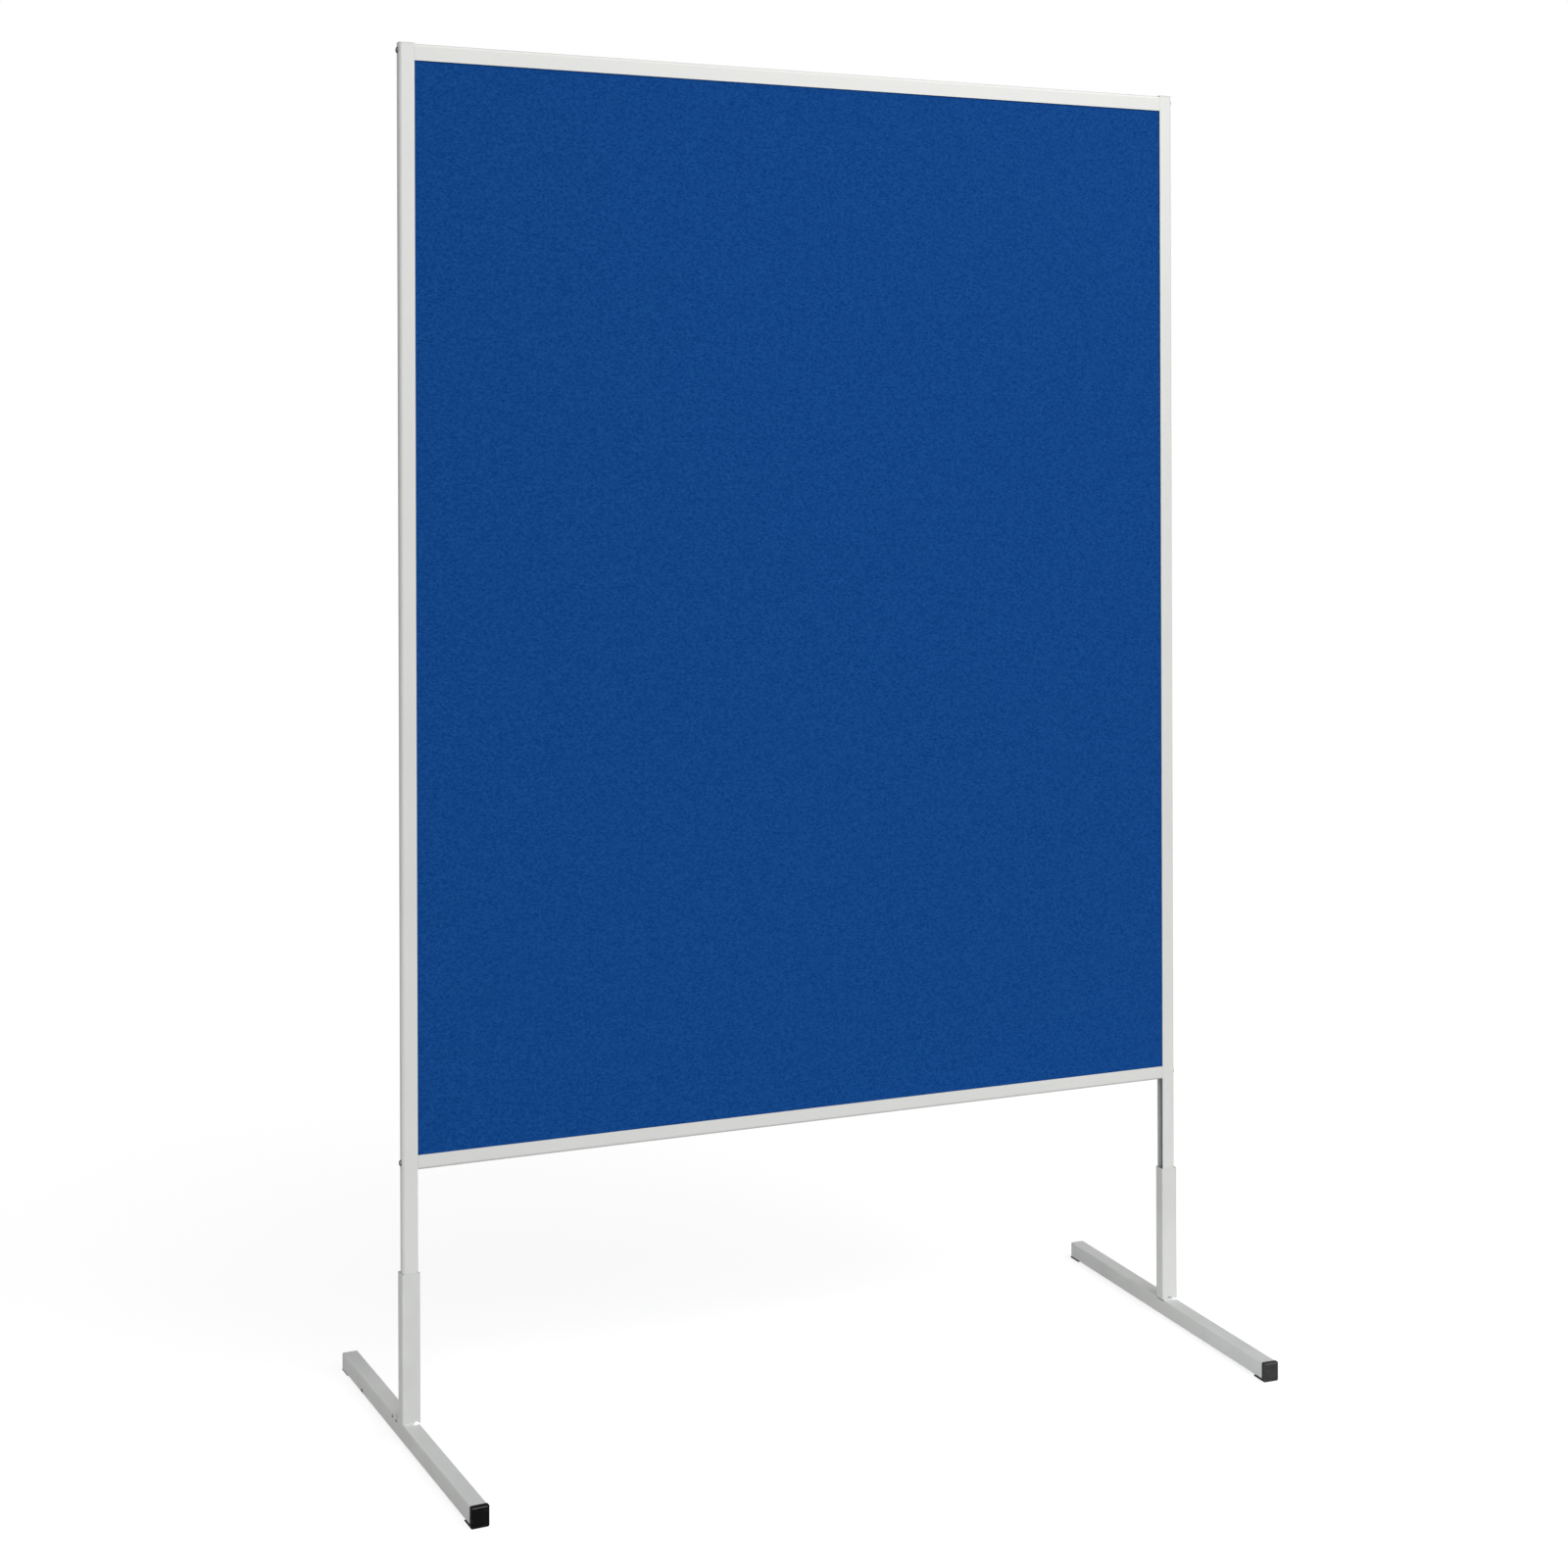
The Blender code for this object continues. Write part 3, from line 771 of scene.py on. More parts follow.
@dataclass(frozen=True)
class MattedFelt:
    """Royal blue felt: matted fibres, a fine even mottle and a few pale specks."""

    name: str = "blue_felt"
    slot: str = "felt"
    deep: Colour = (0.0020, 0.0408, 0.198)
    bright: Colour = (0.0087, 0.0705, 0.262)
    speck: Colour = (0.06, 0.14, 0.34)
    tint: Colour = (0.10, 0.35, 0.9)
    streak: Point = (110.0, 400.0, 1150.0)
    streak_turns: Point = (0.2, 1.15, 2.2)
    lint_cells: float = 52.0
    lint_size: Span = (0.020, 0.045)
    lint_rarity: float = 0.93
    lint_share: float = 0.45

    def fibres(self, nodes: Nodes) -> bpy.types.NodeSocket:
        """Lay short streaks in several directions.

        Args:
            nodes: the material's nodes.

        Returns:
            Their mean, about 0.5.
        """
        total = None
        for turn in self.streak_turns:
            where = nodes.coordinates(self.streak, (0.0, turn, 0.0))
            streak = nodes.noise(where, 1.0, detail=3.0, rough=0.6, warp=1.2)
            total = streak if total is None else nodes.math("ADD", total, streak)
        return nodes.math("MULTIPLY", total, 1 / len(self.streak_turns))

    def lint(self, nodes: Nodes, plain: bpy.types.NodeSocket) -> bpy.types.NodeSocket:
        """Scatter a few pale specks of lint.

        Args:
            nodes: the material's nodes.
            plain: the piece's coordinates.

        Returns:
            How strongly a speck shows.
        """
        cells = nodes.add("ShaderNodeTexVoronoi")
        cells.inputs["Scale"].default_value = self.lint_cells
        nodes.link(plain, cells.inputs["Vector"])
        near = nodes.spread(cells.outputs["Distance"], *self.lint_size, 1.0, 0.0)
        parts = nodes.add("ShaderNodeSeparateColor")
        nodes.link(cells.outputs["Color"], parts.inputs["Color"])
        rare = nodes.math("GREATER_THAN", parts.outputs["Red"], self.lint_rarity)
        return nodes.product(near, rare, self.lint_share)

    def material(self) -> bpy.types.Material:
        """Build the finish: mottle, streaks and fuzz, with lint on them.

        Returns:
            The material.
        """
        nodes = Nodes(self.name)
        plain = nodes.coordinates()
        fibre = self.fibres(nodes)
        mottle = nodes.noise(nodes.coordinates((1.0, 1.0, 1.6)), 265.0, detail=2.0, rough=0.5, warp=0.3)
        fuzz = nodes.noise(plain, 1900.0, detail=3.0, rough=0.65, warp=0.8)
        tone = nodes.math("MULTIPLY_ADD", fibre, 0.22, nodes.math("MULTIPLY", mottle, 0.66))
        tone = nodes.math("MULTIPLY_ADD", fuzz, 0.12, tone)
        colour = nodes.blend(nodes.spread(tone, 0.38, 0.62), self.deep, self.bright)
        colour = nodes.blend(self.lint(nodes, plain), colour, self.speck)
        nodes.link(colour, nodes.shader.inputs["Base Color"])
        nodes.link(nodes.spread(fuzz, 0.3, 0.7, 0.90, 1.0), nodes.shader.inputs["Roughness"])
        nodes.bump([(mottle, 0.15, 0.0004), (fibre, 0.35, 0.0004), (fuzz, 0.45, 0.0002)])
        nodes.set(Specular_IOR_Level=0.05, Sheen_Weight=0.05, Sheen_Roughness=0.5, Sheen_Tint=self.tint)
        return nodes.material


@dataclass(frozen=True)
class MouldedPlastic:
    """Plastic with the fine grain of its mould and a little dust.

    When its glare share is set, it has a painted glare that makes it paler towards the board's right end, a
    painted highlight under the upper rims of the front caps, and a scuff on the pad at the left foot's rear.
    The rims' spans are a middle and its reach to both sides, and the others say where a fade starts and ends.
    """

    name: str
    slot: str
    base: Colour
    dust: Colour
    rough: float
    shine: float = 0.4
    haze: float = 0.0
    haze_reach: Span = (0.3, 0.6)
    settled: Colour = (0.115, 0.098, 0.090)
    rim_across: Span = (0.57715, 0.0096)
    rim_level: Span = (0.02495, 0.00055)
    rim_front: float = -0.290
    scuff: Colour = (0.55, 0.545, 0.55)
    scuff_left: Span = (-0.58, -0.50)
    scuff_rear: Span = (0.20, 0.25)
    scuff_end: Span = (0.2925, 0.2940)

    def sloping(self, nodes: Nodes, plain: bpy.types.NodeSocket) -> bpy.types.NodeSocket:
        """Mark the slope under the upper rims of the front caps, where a highlight is painted.

        Args:
            nodes: the material's nodes.
            plain: the piece's coordinates.

        Returns:
            1 on the slope and 0 elsewhere.
        """
        x, y, z = nodes.split(plain)
        across = nodes.math("COMPARE", nodes.math("ABSOLUTE", x), *self.rim_across)
        level = nodes.math("COMPARE", z, *self.rim_level)
        return nodes.product(across, level, nodes.math("LESS_THAN", y, self.rim_front))

    def scuffed(self, nodes: Nodes, plain: bpy.types.NodeSocket) -> bpy.types.NodeSocket:
        """Mark the left rear pad, up to the cap's outer face.

        Args:
            nodes: the material's nodes.
            plain: the piece's coordinates.

        Returns:
            1 on the pad and 0 elsewhere.
        """
        x, y, _ = nodes.split(plain)
        left = nodes.spread(x, *self.scuff_left, 1.0, 0.0)
        rear = nodes.spread(y, *self.scuff_rear)
        return nodes.product(rear, nodes.spread(y, *self.scuff_end, 1.0, 0.0), left)

    def material(self) -> bpy.types.Material:
        """Build the finish: mould grain and dust, and with the glare share set the painted glare, the painted
        highlight and the scuff.
        """
        nodes = Nodes(self.name)
        plain = nodes.coordinates()
        grain = nodes.noise(plain, 2300.0, detail=3.0, rough=0.6)
        cloud = nodes.noise(plain, 110.0, detail=5.0, rough=0.6)
        dust_and_glare_share = nodes.math("MULTIPLY", nodes.spread(cloud, 0.50, 0.75), 0.35)
        if self.haze:
            # painted glare: the plastic is paler towards the board's right end, blended in with the dust
            glare = nodes.spread(nodes.split(plain)[0], *self.haze_reach, 0.0, self.haze)
            dust_and_glare_share = nodes.math("ADD", dust_and_glare_share, glare)
        colour = nodes.blend(dust_and_glare_share, self.base, self.dust)
        if self.haze:
            # painted highlight on the slope under the front caps' upper rims
            colour = nodes.blend(self.sloping(nodes, plain), colour, self.settled)
            colour = nodes.blend(self.scuffed(nodes, plain), colour, self.scuff)
        nodes.link(colour, nodes.shader.inputs["Base Color"])
        rough = nodes.math("MULTIPLY_ADD", cloud, 0.25, self.rough - 0.12)
        nodes.link(rough, nodes.shader.inputs["Roughness"])
        nodes.bump([(grain, 0.25, 0.00008), (cloud, 0.05, 0.0002)])
        nodes.set(Specular_IOR_Level=self.shine)
        return nodes.material


@dataclass(frozen=True)
class ZincSteel:
    """Zinc-plated steel, as on the screws."""

    name: str = "screw_steel"
    slot: str = "steel"
    light: Colour = (0.34, 0.34, 0.33)
    dark: Colour = (0.17, 0.17, 0.165)

    def material(self) -> bpy.types.Material:
        """Build the finish: dull and bright patches of plating.

        Returns:
            The material.
        """
        nodes = Nodes(self.name)
        plain = nodes.coordinates()
        patch = nodes.noise(plain, 480.0, detail=4.0, rough=0.6, warp=0.5)
        fine = nodes.noise(plain, 3200.0, detail=2.0, rough=0.5)
        colour = nodes.blend(nodes.spread(patch, 0.35, 0.65), self.dark, self.light)
        nodes.link(colour, nodes.shader.inputs["Base Color"])
        nodes.link(nodes.spread(patch, 0.3, 0.7, 0.28, 0.42), nodes.shader.inputs["Roughness"])
        nodes.bump([(fine, 0.15, 0.00004)])
        nodes.set(Metallic=1.0)
        return nodes.material


@dataclass(frozen=True)
class FibreBoard:
    """Soft fibre board, cut bare at its edges."""

    name: str = "fibre_board"
    slot: str = "core"
    light: Colour = (0.52, 0.40, 0.26)
    dark: Colour = (0.38, 0.28, 0.17)
    layers: Point = (300.0, 900.0, 300.0)

    def material(self) -> bpy.types.Material:
        """Build the finish: fibres that lie in thin layers.

        Returns:
            The material.
        """
        nodes = Nodes(self.name)
        fibre = nodes.noise(nodes.coordinates(self.layers), 1.0, detail=5.0, rough=0.7, warp=0.8)
        colour = nodes.blend(nodes.spread(fibre, 0.35, 0.65), self.dark, self.light)
        nodes.link(colour, nodes.shader.inputs["Base Color"])
        nodes.bump([(fibre, 0.5, 0.0005)])
        nodes.set(Roughness=0.9)
        return nodes.material


Finish = DrawnMetal | PowderCoat | BeadCoat | MattedFelt | MouldedPlastic | ZincSteel | FibreBoard


@dataclass
class Finishes:
    """All finishes of the object, each made once."""

    upright: DrawnMetal = DrawnMetal("frame_upright", Grain.ALONG_Z, groove=(0.58405, 0.0062))
    level: DrawnMetal = DrawnMetal("frame_level", Grain.ALONG_X)
    coat: PowderCoat = PowderCoat()
    bead_coat: BeadCoat = BeadCoat()
    felt: MattedFelt = MattedFelt()
    core: FibreBoard = FibreBoard()
    steel: ZincSteel = ZincSteel()
    cap: MouldedPlastic = MouldedPlastic(
        "cap_grey", "cap", base=(0.63, 0.635, 0.615), dust=(0.55, 0.55, 0.53), rough=0.50,
    )
    black: MouldedPlastic = MouldedPlastic(
        "cap_black", "black", base=(0.0018, 0.0018, 0.0016), dust=(0.05, 0.05, 0.05), rough=0.45,
        shine=0.13, haze=0.70,
    )
    made: dict[str, bpy.types.Material] = field(default_factory=dict)

    def dress(self, piece: bpy.types.Object, finish: Finish, body: str, *nodes: str) -> None:
        """Give a piece its finish, its body and the nodes that it stands for.

        Args:
            piece: the finished piece.
            finish: one of the finishes.
            body: the body that it rides on.
            nodes: the nodes that it replaces.
        """
        if finish.name not in self.made:
            self.made[finish.name] = finish.material()
        piece.data.materials.clear()
        piece.data.materials.append(self.made[finish.name])
        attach(piece, body)
        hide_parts(*nodes)
        LOG.info("%s: %d faces, rides on %s", piece.name, len(piece.data.polygons), body)


@dataclass
class FrameProfile:
    """The drawn profile of the frame: a chamber on the outer side and the panel's groove on the inner.

    It is modelled with its outer face at x = 0, its groove towards +X and its length along Z. A rail has
    a screw port at a depth from its outer face; a stile has none and is drilled instead.
    """

    name: str
    face: float
    length: float
    holes: tuple[float, ...] = ()
    port: float = 0.0
    bore: float = 0.0022
    port_wall: float = 0.00105
    edge: float = 0.00022

    def cutter(self, low_x: float, high_x: float, half: float, radius: float) -> bpy.types.Object:
        """Return a long block that cuts a chamber or a groove.

        Args:
            low_x: where it starts.
            high_x: where it ends.
            half: half its depth.
            radius: the radius of its two outer edges, or 0.

        Returns:
            The block.
        """
        tool = Bench.block("tool", (low_x, -half, -OVERRUN), (high_x, half, self.length + OVERRUN))
        if radius > 0:
            Bench.round_edges(
                tool, radius, 8, lambda middle, way: abs(way.z) > ALIGNED and middle.x < low_x + radius / 2,
            )
        return tool

    def shape(self) -> bpy.types.Object:
        """Build the profile, cut to length and drilled.

        Returns:
            The profile.
        """
        half = FRAME_DEPTH / 2
        inner = half - FRAME_WALL
        web = self.face - GROOVE_DEPTH - FRAME_WALL
        piece = Bench.block(self.name, (0, -half, 0), (self.face, half, self.length))
        Bench.round_edges(
            piece, FRAME_ROUND, 12, lambda middle, way: abs(way.z) > ALIGNED and middle.x < self.face / 2,
        )
        groove = self.cutter(self.face - GROOVE_DEPTH, self.face + OVERRUN, inner, 0)
        Bench.combine(piece, groove, "DIFFERENCE")
        chamber = self.cutter(FRAME_WALL, web, inner, FRAME_ROUND - FRAME_WALL)
        if self.port:
            block_half = self.bore + self.port_wall
            block = Bench.block(
                "port", (self.port - block_half, -block_half, -2 * OVERRUN),
                (web + OVERRUN, block_half, self.length + 2 * OVERRUN),
            )
            Bench.combine(chamber, block, "DIFFERENCE")
        Bench.combine(piece, chamber, "DIFFERENCE")
        drills = [((-OVERRUN, 0, level), (self.face + OVERRUN, 0, level)) for level in self.holes]
        if self.port:
            drills.append(((self.port, 0, -OVERRUN), (self.port, 0, self.length + OVERRUN)))
        for start, end in drills:
            Bench.combine(piece, Bench.rod("tool", start, end, self.bore, sides=32), "DIFFERENCE")
        Bench.soften(piece, self.edge, steps=2, angle=45.0)
        return piece


@dataclass
class StileCap:
    """The thin plastic cap on a stile's upper end, with its plug in the chamber.

    It is modelled like the stile, with its outer face at x = 0 and its underside at z = 0.
    """

    thickness: float = 0.00095
    plug: float = 0.006
    border: float = 0.0016
    line_width: float = 0.0002
    line_depth: float = 0.00015
    edge: float = 0.00018

    def shape(self) -> bpy.types.Object:
        """Build the cap, with a fine line along its border.

        Returns:
            The cap.
        """
        half = FRAME_DEPTH / 2
        piece = Bench.block("end_cap", (0, -half, 0), (STILE_FACE, half, self.thickness))
        Bench.round_edges(
            piece, FRAME_ROUND, 12, lambda middle, way: abs(way.z) > ALIGNED and middle.x < STILE_FACE / 2,
        )
        margin = FRAME_WALL + GAP
        low = (margin, margin - half, -self.plug)
        high = (STILE_FACE - GROOVE_DEPTH - margin, half - margin, self.thickness / 2)
        plug = Bench.block("plug", low, high)
        Bench.round_edges(
            plug, FRAME_ROUND - FRAME_WALL, 6,
            lambda middle, way: abs(way.z) > ALIGNED and middle.x < low[0] + GAP,
        )
        Bench.combine(piece, plug, "UNION")
        Bench.pick_faces(
            piece, lambda middle, normal: normal.z > ALIGNED and middle.z > self.thickness - GAP,
        )
        bpy.ops.mesh.inset(thickness=self.border, depth=0)
        bpy.ops.mesh.inset(thickness=self.line_width, depth=-self.line_depth)
        bpy.ops.object.mode_set(mode="OBJECT")
        Bench.soften(piece, self.edge, steps=3, angle=50.0)
        return piece


@dataclass
class DomedScrew:
    """A screw with a domed head and a cross recess, modelled with its head up and its seat at z = 0.

    The shares are of the head's height or radius, or of the shank's radius.
    """

    name: str
    head_radius: float = 0.00425
    head_height: float = 0.0027
    shank_radius: float = 0.0019
    length: float = 0.0356
    point: float = 0.002
    pitch: float = 0.0011
    rings: int = 9
    flat_ring: float = 0.6
    rim_share: float = 0.16
    cross_shares: Span = (0.56, 0.13)
    cross_deep_share: float = 0.55
    cross_top_share: float = 1.2
    cross_taper: float = 0.62
    root_share: float = 0.82
    tip_share: float = 0.12
    edge_share: float = 0.02

    def head(self) -> bpy.types.Object:
        """Build the domed head, raised ring by ring from a flat disc.

        Returns:
            The head.
        """
        rim = self.head_height * self.rim_share
        piece = Bench.rod(self.name, (0, 0, 0), (0, 0, rim), self.head_radius, sides=64)
        Bench.pick_faces(piece, lambda middle, normal: normal.z > ALIGNED)
        reach, rise = self.head_radius, 0.0
        for step in range(1, self.rings + 1):
            angle = math.pi / 2 * step / (self.rings + self.flat_ring)
            new_reach = self.head_radius * math.cos(angle)
            new_rise = (self.head_height - rim) * math.sin(angle)
            bpy.ops.mesh.inset(thickness=reach - new_reach, depth=new_rise - rise, use_boundary=True)
            reach, rise = new_reach, new_rise
        bpy.ops.object.mode_set(mode="OBJECT")
        return piece

    def recess(self, piece: bpy.types.Object) -> None:
        """Cut the cross recess into the head.

        Args:
            piece: the head.
        """
        wide, thin = (self.head_radius * share for share in self.cross_shares)
        bottom = self.head_height - self.head_height * self.cross_deep_share
        top = self.head_height * self.cross_top_share
        narrow = (self.cross_taper, self.cross_taper, 1.0)
        for half_x, half_y in ((wide, thin), (thin, wide)):
            tool = Bench.block("tool", (-half_x, -half_y, bottom), (half_x, half_y, top))
            Bench.pick_faces(tool, lambda middle, normal: normal.z < -ALIGNED)
            bpy.ops.transform.resize(value=narrow, center_override=(0, 0, bottom))
            bpy.ops.object.mode_set(mode="OBJECT")
            Bench.combine(piece, tool, "DIFFERENCE")

    def shank(self) -> bpy.types.Object:
        """Build the shank, with a thread made by widening and narrowing its rings.

        Returns:
            The shank.
        """
        root = self.shank_radius * self.root_share
        piece = Bench.rod("shank", (0, 0, GAP / 2), (0, 0, -GAP), root, sides=24)
        Bench.pick_faces(piece, lambda middle, normal: normal.z < -ALIGNED)
        level = -GAP
        drop = self.pitch / 2
        for turn in range(int((self.length - self.point) / drop)):
            share = 1 / self.root_share if turn % 2 == 0 else self.root_share
            bpy.ops.mesh.extrude_region_move(TRANSFORM_OT_translate={"value": (0, 0, -drop)})
            level -= drop
            bpy.ops.transform.resize(value=(share, share, 1.0), center_override=(0, 0, level))
        bpy.ops.mesh.extrude_region_move(TRANSFORM_OT_translate={"value": (0, 0, -self.length - level)})
        tip = (self.tip_share, self.tip_share, 1.0)
        bpy.ops.transform.resize(value=tip, center_override=(0, 0, -self.length))
        bpy.ops.object.mode_set(mode="OBJECT")
        return piece

    def shape(self) -> bpy.types.Object:
        """Build the screw.

        Returns:
            The screw.
        """
        piece = self.head()
        self.recess(piece)
        Bench.combine(piece, self.shank(), "UNION")
        Bench.soften(piece, self.head_radius * self.edge_share, steps=2, angle=40.0)
        return piece


@dataclass
class FeltFaces:
    """The two felt faces.

    They are held thin in the frame's groove, and slightly swollen and uneven where they lie free.
    """

    width: float
    height: float
    bottom: float
    back: float = 0.0052
    thickness: float = 0.0010
    swell: float = 0.0002
    bite: float = 0.0044
    margin: float = 0.0004
    slope: float = 0.0006
    cell: float = 0.012
    wave: float = 0.00006
    waves: float = 9.0

    @property
    def free(self) -> float:
        """Return the distance from the felt's edge to where it lies free."""
        return self.bite + self.margin

    def cloth(self) -> bpy.types.Object:
        """Build the flat cloth in the XY plane, with close rows of faces along its edges.

        Returns:
            The cloth.
        """
        Bench.clear()
        across, up = round(self.width / self.cell), round(self.height / self.cell)
        bpy.ops.mesh.primitive_grid_add(x_subdivisions=across, y_subdivisions=up, size=1)
        bpy.ops.transform.resize(value=(self.width, self.height, 1.0), center_override=(0, 0, 0))
        piece = Bench.settle("felt_cloth")
        Bench.take(piece)
        bpy.ops.object.mode_set(mode="EDIT")
        lines = (self.bite, *(self.free + share * self.slope for share in (0.0, 0.5, 1.0, 3.0)))
        for inset in lines:
            for way, half in (((1, 0, 0), self.width / 2), ((0, 1, 0), self.height / 2)):
                for sign in (-1, 1):
                    bpy.ops.mesh.select_all(action="SELECT")
                    bpy.ops.mesh.bisect(plane_co=Vector(way) * sign * (half - inset), plane_no=way)
        bpy.ops.object.mode_set(mode="OBJECT")
        return piece

    def raise_free_part(self, piece: bpy.types.Object, seed: float) -> None:
        """Lift the free felt by its swelling and make it slightly uneven.

        Args:
            piece: the flat cloth.
            seed: makes each face uneven in its own way.
        """
        for vert in piece.data.vertices:
            x, y = abs(vert.co.x), abs(vert.co.y)
            inward = min(self.width / 2 - x, self.height / 2 - y) - self.free
            share = min(max(inward / self.slope, 0.0), 1.0)
            share = share * share * (3 - 2 * share)
            where = Vector((vert.co.x * self.waves, vert.co.y * self.waves, seed))
            vert.co.z = share * (self.swell + self.wave * (noise.noise(where) - 1.0) * 0.5)

    def build(self, finishes: Finishes) -> None:
        """Build and dress both felt faces.

        Args:
            finishes: the object's finishes.
        """
        names = [f"{facing.word}_felt_cloth" for facing in Facing]
        for facing, piece in zip(Facing, Bench.repeat(self.cloth(), names)):
            self.raise_free_part(piece, 19.0 + 12.0 * facing.value)
            Bench.take(piece)
            wall = piece.modifiers.new("wall", "SOLIDIFY")
            wall.thickness = self.thickness
            wall.offset = -1
            bpy.ops.object.modifier_apply(modifier=wall.name)
            Bench.shade(piece, angle=40.0)
            turn = Matrix.Rotation(math.pi / 2, 4, "X")
            if facing is Facing.REAR:
                turn = Matrix.Rotation(math.pi, 4, "Z") @ turn
            middle = Vector((0, facing.value * (self.back + self.thickness), self.bottom + self.height / 2))
            Bench.place(piece, Matrix.Translation(middle) @ turn)
            finishes.dress(piece, finishes.felt, "board", f"{facing.word}_felt")


@dataclass
class Tube:
    """A rectangular tube with rounded corners, modelled along Z from z = 0 round the origin."""

    name: str
    width: float
    depth: float
    wall: float
    corner: float
    length: float

    def shape(self) -> bpy.types.Object:
        """Build the tube, open at both ends.

        Returns:
            The tube.
        """
        half_x, half_y = self.width / 2, self.depth / 2
        piece = Bench.block(self.name, (-half_x, -half_y, 0), (half_x, half_y, self.length))
        Bench.round_edges(piece, self.corner, 6, lambda middle, way: abs(way.z) > ALIGNED)
        inner_x, inner_y = half_x - self.wall, half_y - self.wall
        tool = Bench.block("tool", (-inner_x, -inner_y, -OVERRUN), (inner_x, inner_y, self.length + OVERRUN))
        inner_round = max(self.corner - self.wall, GAP)
        Bench.round_edges(tool, inner_round, 4, lambda middle, way: abs(way.z) > ALIGNED)
        Bench.combine(piece, tool, "DIFFERENCE")
        return piece


@dataclass
class WeldBead:
    """A weld bead along X in the corner between the crossbar's top and the sleeve, behind the sleeve.

    The corner lies along the X axis, the sleeve towards -Y and the crossbar towards -Z.
    """

    half: float = 0.0106
    reach: float = 0.0040
    rise: float = 0.0050
    ripples: int = 8
    steps: int = 5
    ripple: float = 0.10
    lump: float = 0.10
    lump_pace: float = 6.0
    lump_start: Span = (0.4, 1.7)
    end_steps: float = 1.6
    bluntness: float = 0.4
    fullness: float = 0.86
    fused: float = 0.0001
    uneven: float = 0.00028
    grain: float = 420.0

    def thickness(self, step: int, count: int) -> float:
        """Return a ring's share of the bead's full size.

        Args:
            step: the ring's number.
            count: the last ring's number.

        Returns:
            The share: round at both ends, with a ripple and some lumps between them.
        """
        along = step / count
        lumps = noise.noise(Vector((along * self.lump_pace, *self.lump_start)))
        ripple = 1 + self.ripple * math.cos(math.tau * self.ripples * along) + self.lump * lumps
        outline = math.sin(math.pi * (step + self.end_steps) / (count + 2 * self.end_steps)) ** self.bluntness
        return ripple * outline * self.fullness

    def shape(self) -> bpy.types.Object:
        """Build the bead: rings drawn along X, cut flat where it is fused.

        Returns:
            The bead.
        """
        count = self.ripples * self.steps
        Bench.clear()
        bpy.ops.mesh.primitive_circle_add(
            vertices=28, radius=self.rise, fill_type="NGON", location=(-self.half, 0, 0),
            rotation=(0, math.pi / 2, 0),
        )
        piece = Bench.settle("bead")
        Bench.take(piece)
        bpy.ops.object.mode_set(mode="EDIT")
        bpy.ops.mesh.select_all(action="SELECT")
        size = 1.0
        for step in range(count + 1):
            if step:
                stride = (2 * self.half / count, 0, 0)
                bpy.ops.mesh.extrude_region_move(TRANSFORM_OT_translate={"value": stride})
            target = self.thickness(step, count)
            x = -self.half + 2 * self.half * (step / count)
            bpy.ops.transform.resize(value=(1.0, target / size, target / size), center_override=(x, 0, 0))
            size = target
        bpy.ops.mesh.select_all(action="SELECT")
        bpy.ops.mesh.normals_make_consistent(inside=False)
        bpy.ops.transform.resize(value=(1.0, self.reach / self.rise, 1.0), center_override=(0, 0, 0))
        for way in ((0, 1, 0), (0, 0, 1)):
            bpy.ops.mesh.select_all(action="SELECT")
            bpy.ops.mesh.bisect(
                plane_co=(0, -self.fused, -self.fused), plane_no=way, clear_inner=True, use_fill=True,
            )
        bpy.ops.object.mode_set(mode="OBJECT")
        return piece

    def roughen(self, piece: bpy.types.Object, seed: float) -> None:
        """Make a bead's skin uneven, as molten metal sets.

        Args:
            piece: the bead, cut flat on its two fused sides.
            seed: makes each bead uneven in its own way.
        """
        free = 2 * self.fused
        for vert in piece.data.vertices:
            if vert.co.y > free and vert.co.z > free:
                x, y, z = (part * self.grain for part in vert.co)
                where = Vector((x, y, z + seed))
                away = Vector((0, vert.co.y, vert.co.z)).normalized()
                vert.co += away * self.uneven * noise.noise(where)
        Bench.shade(piece, angle=60.0)


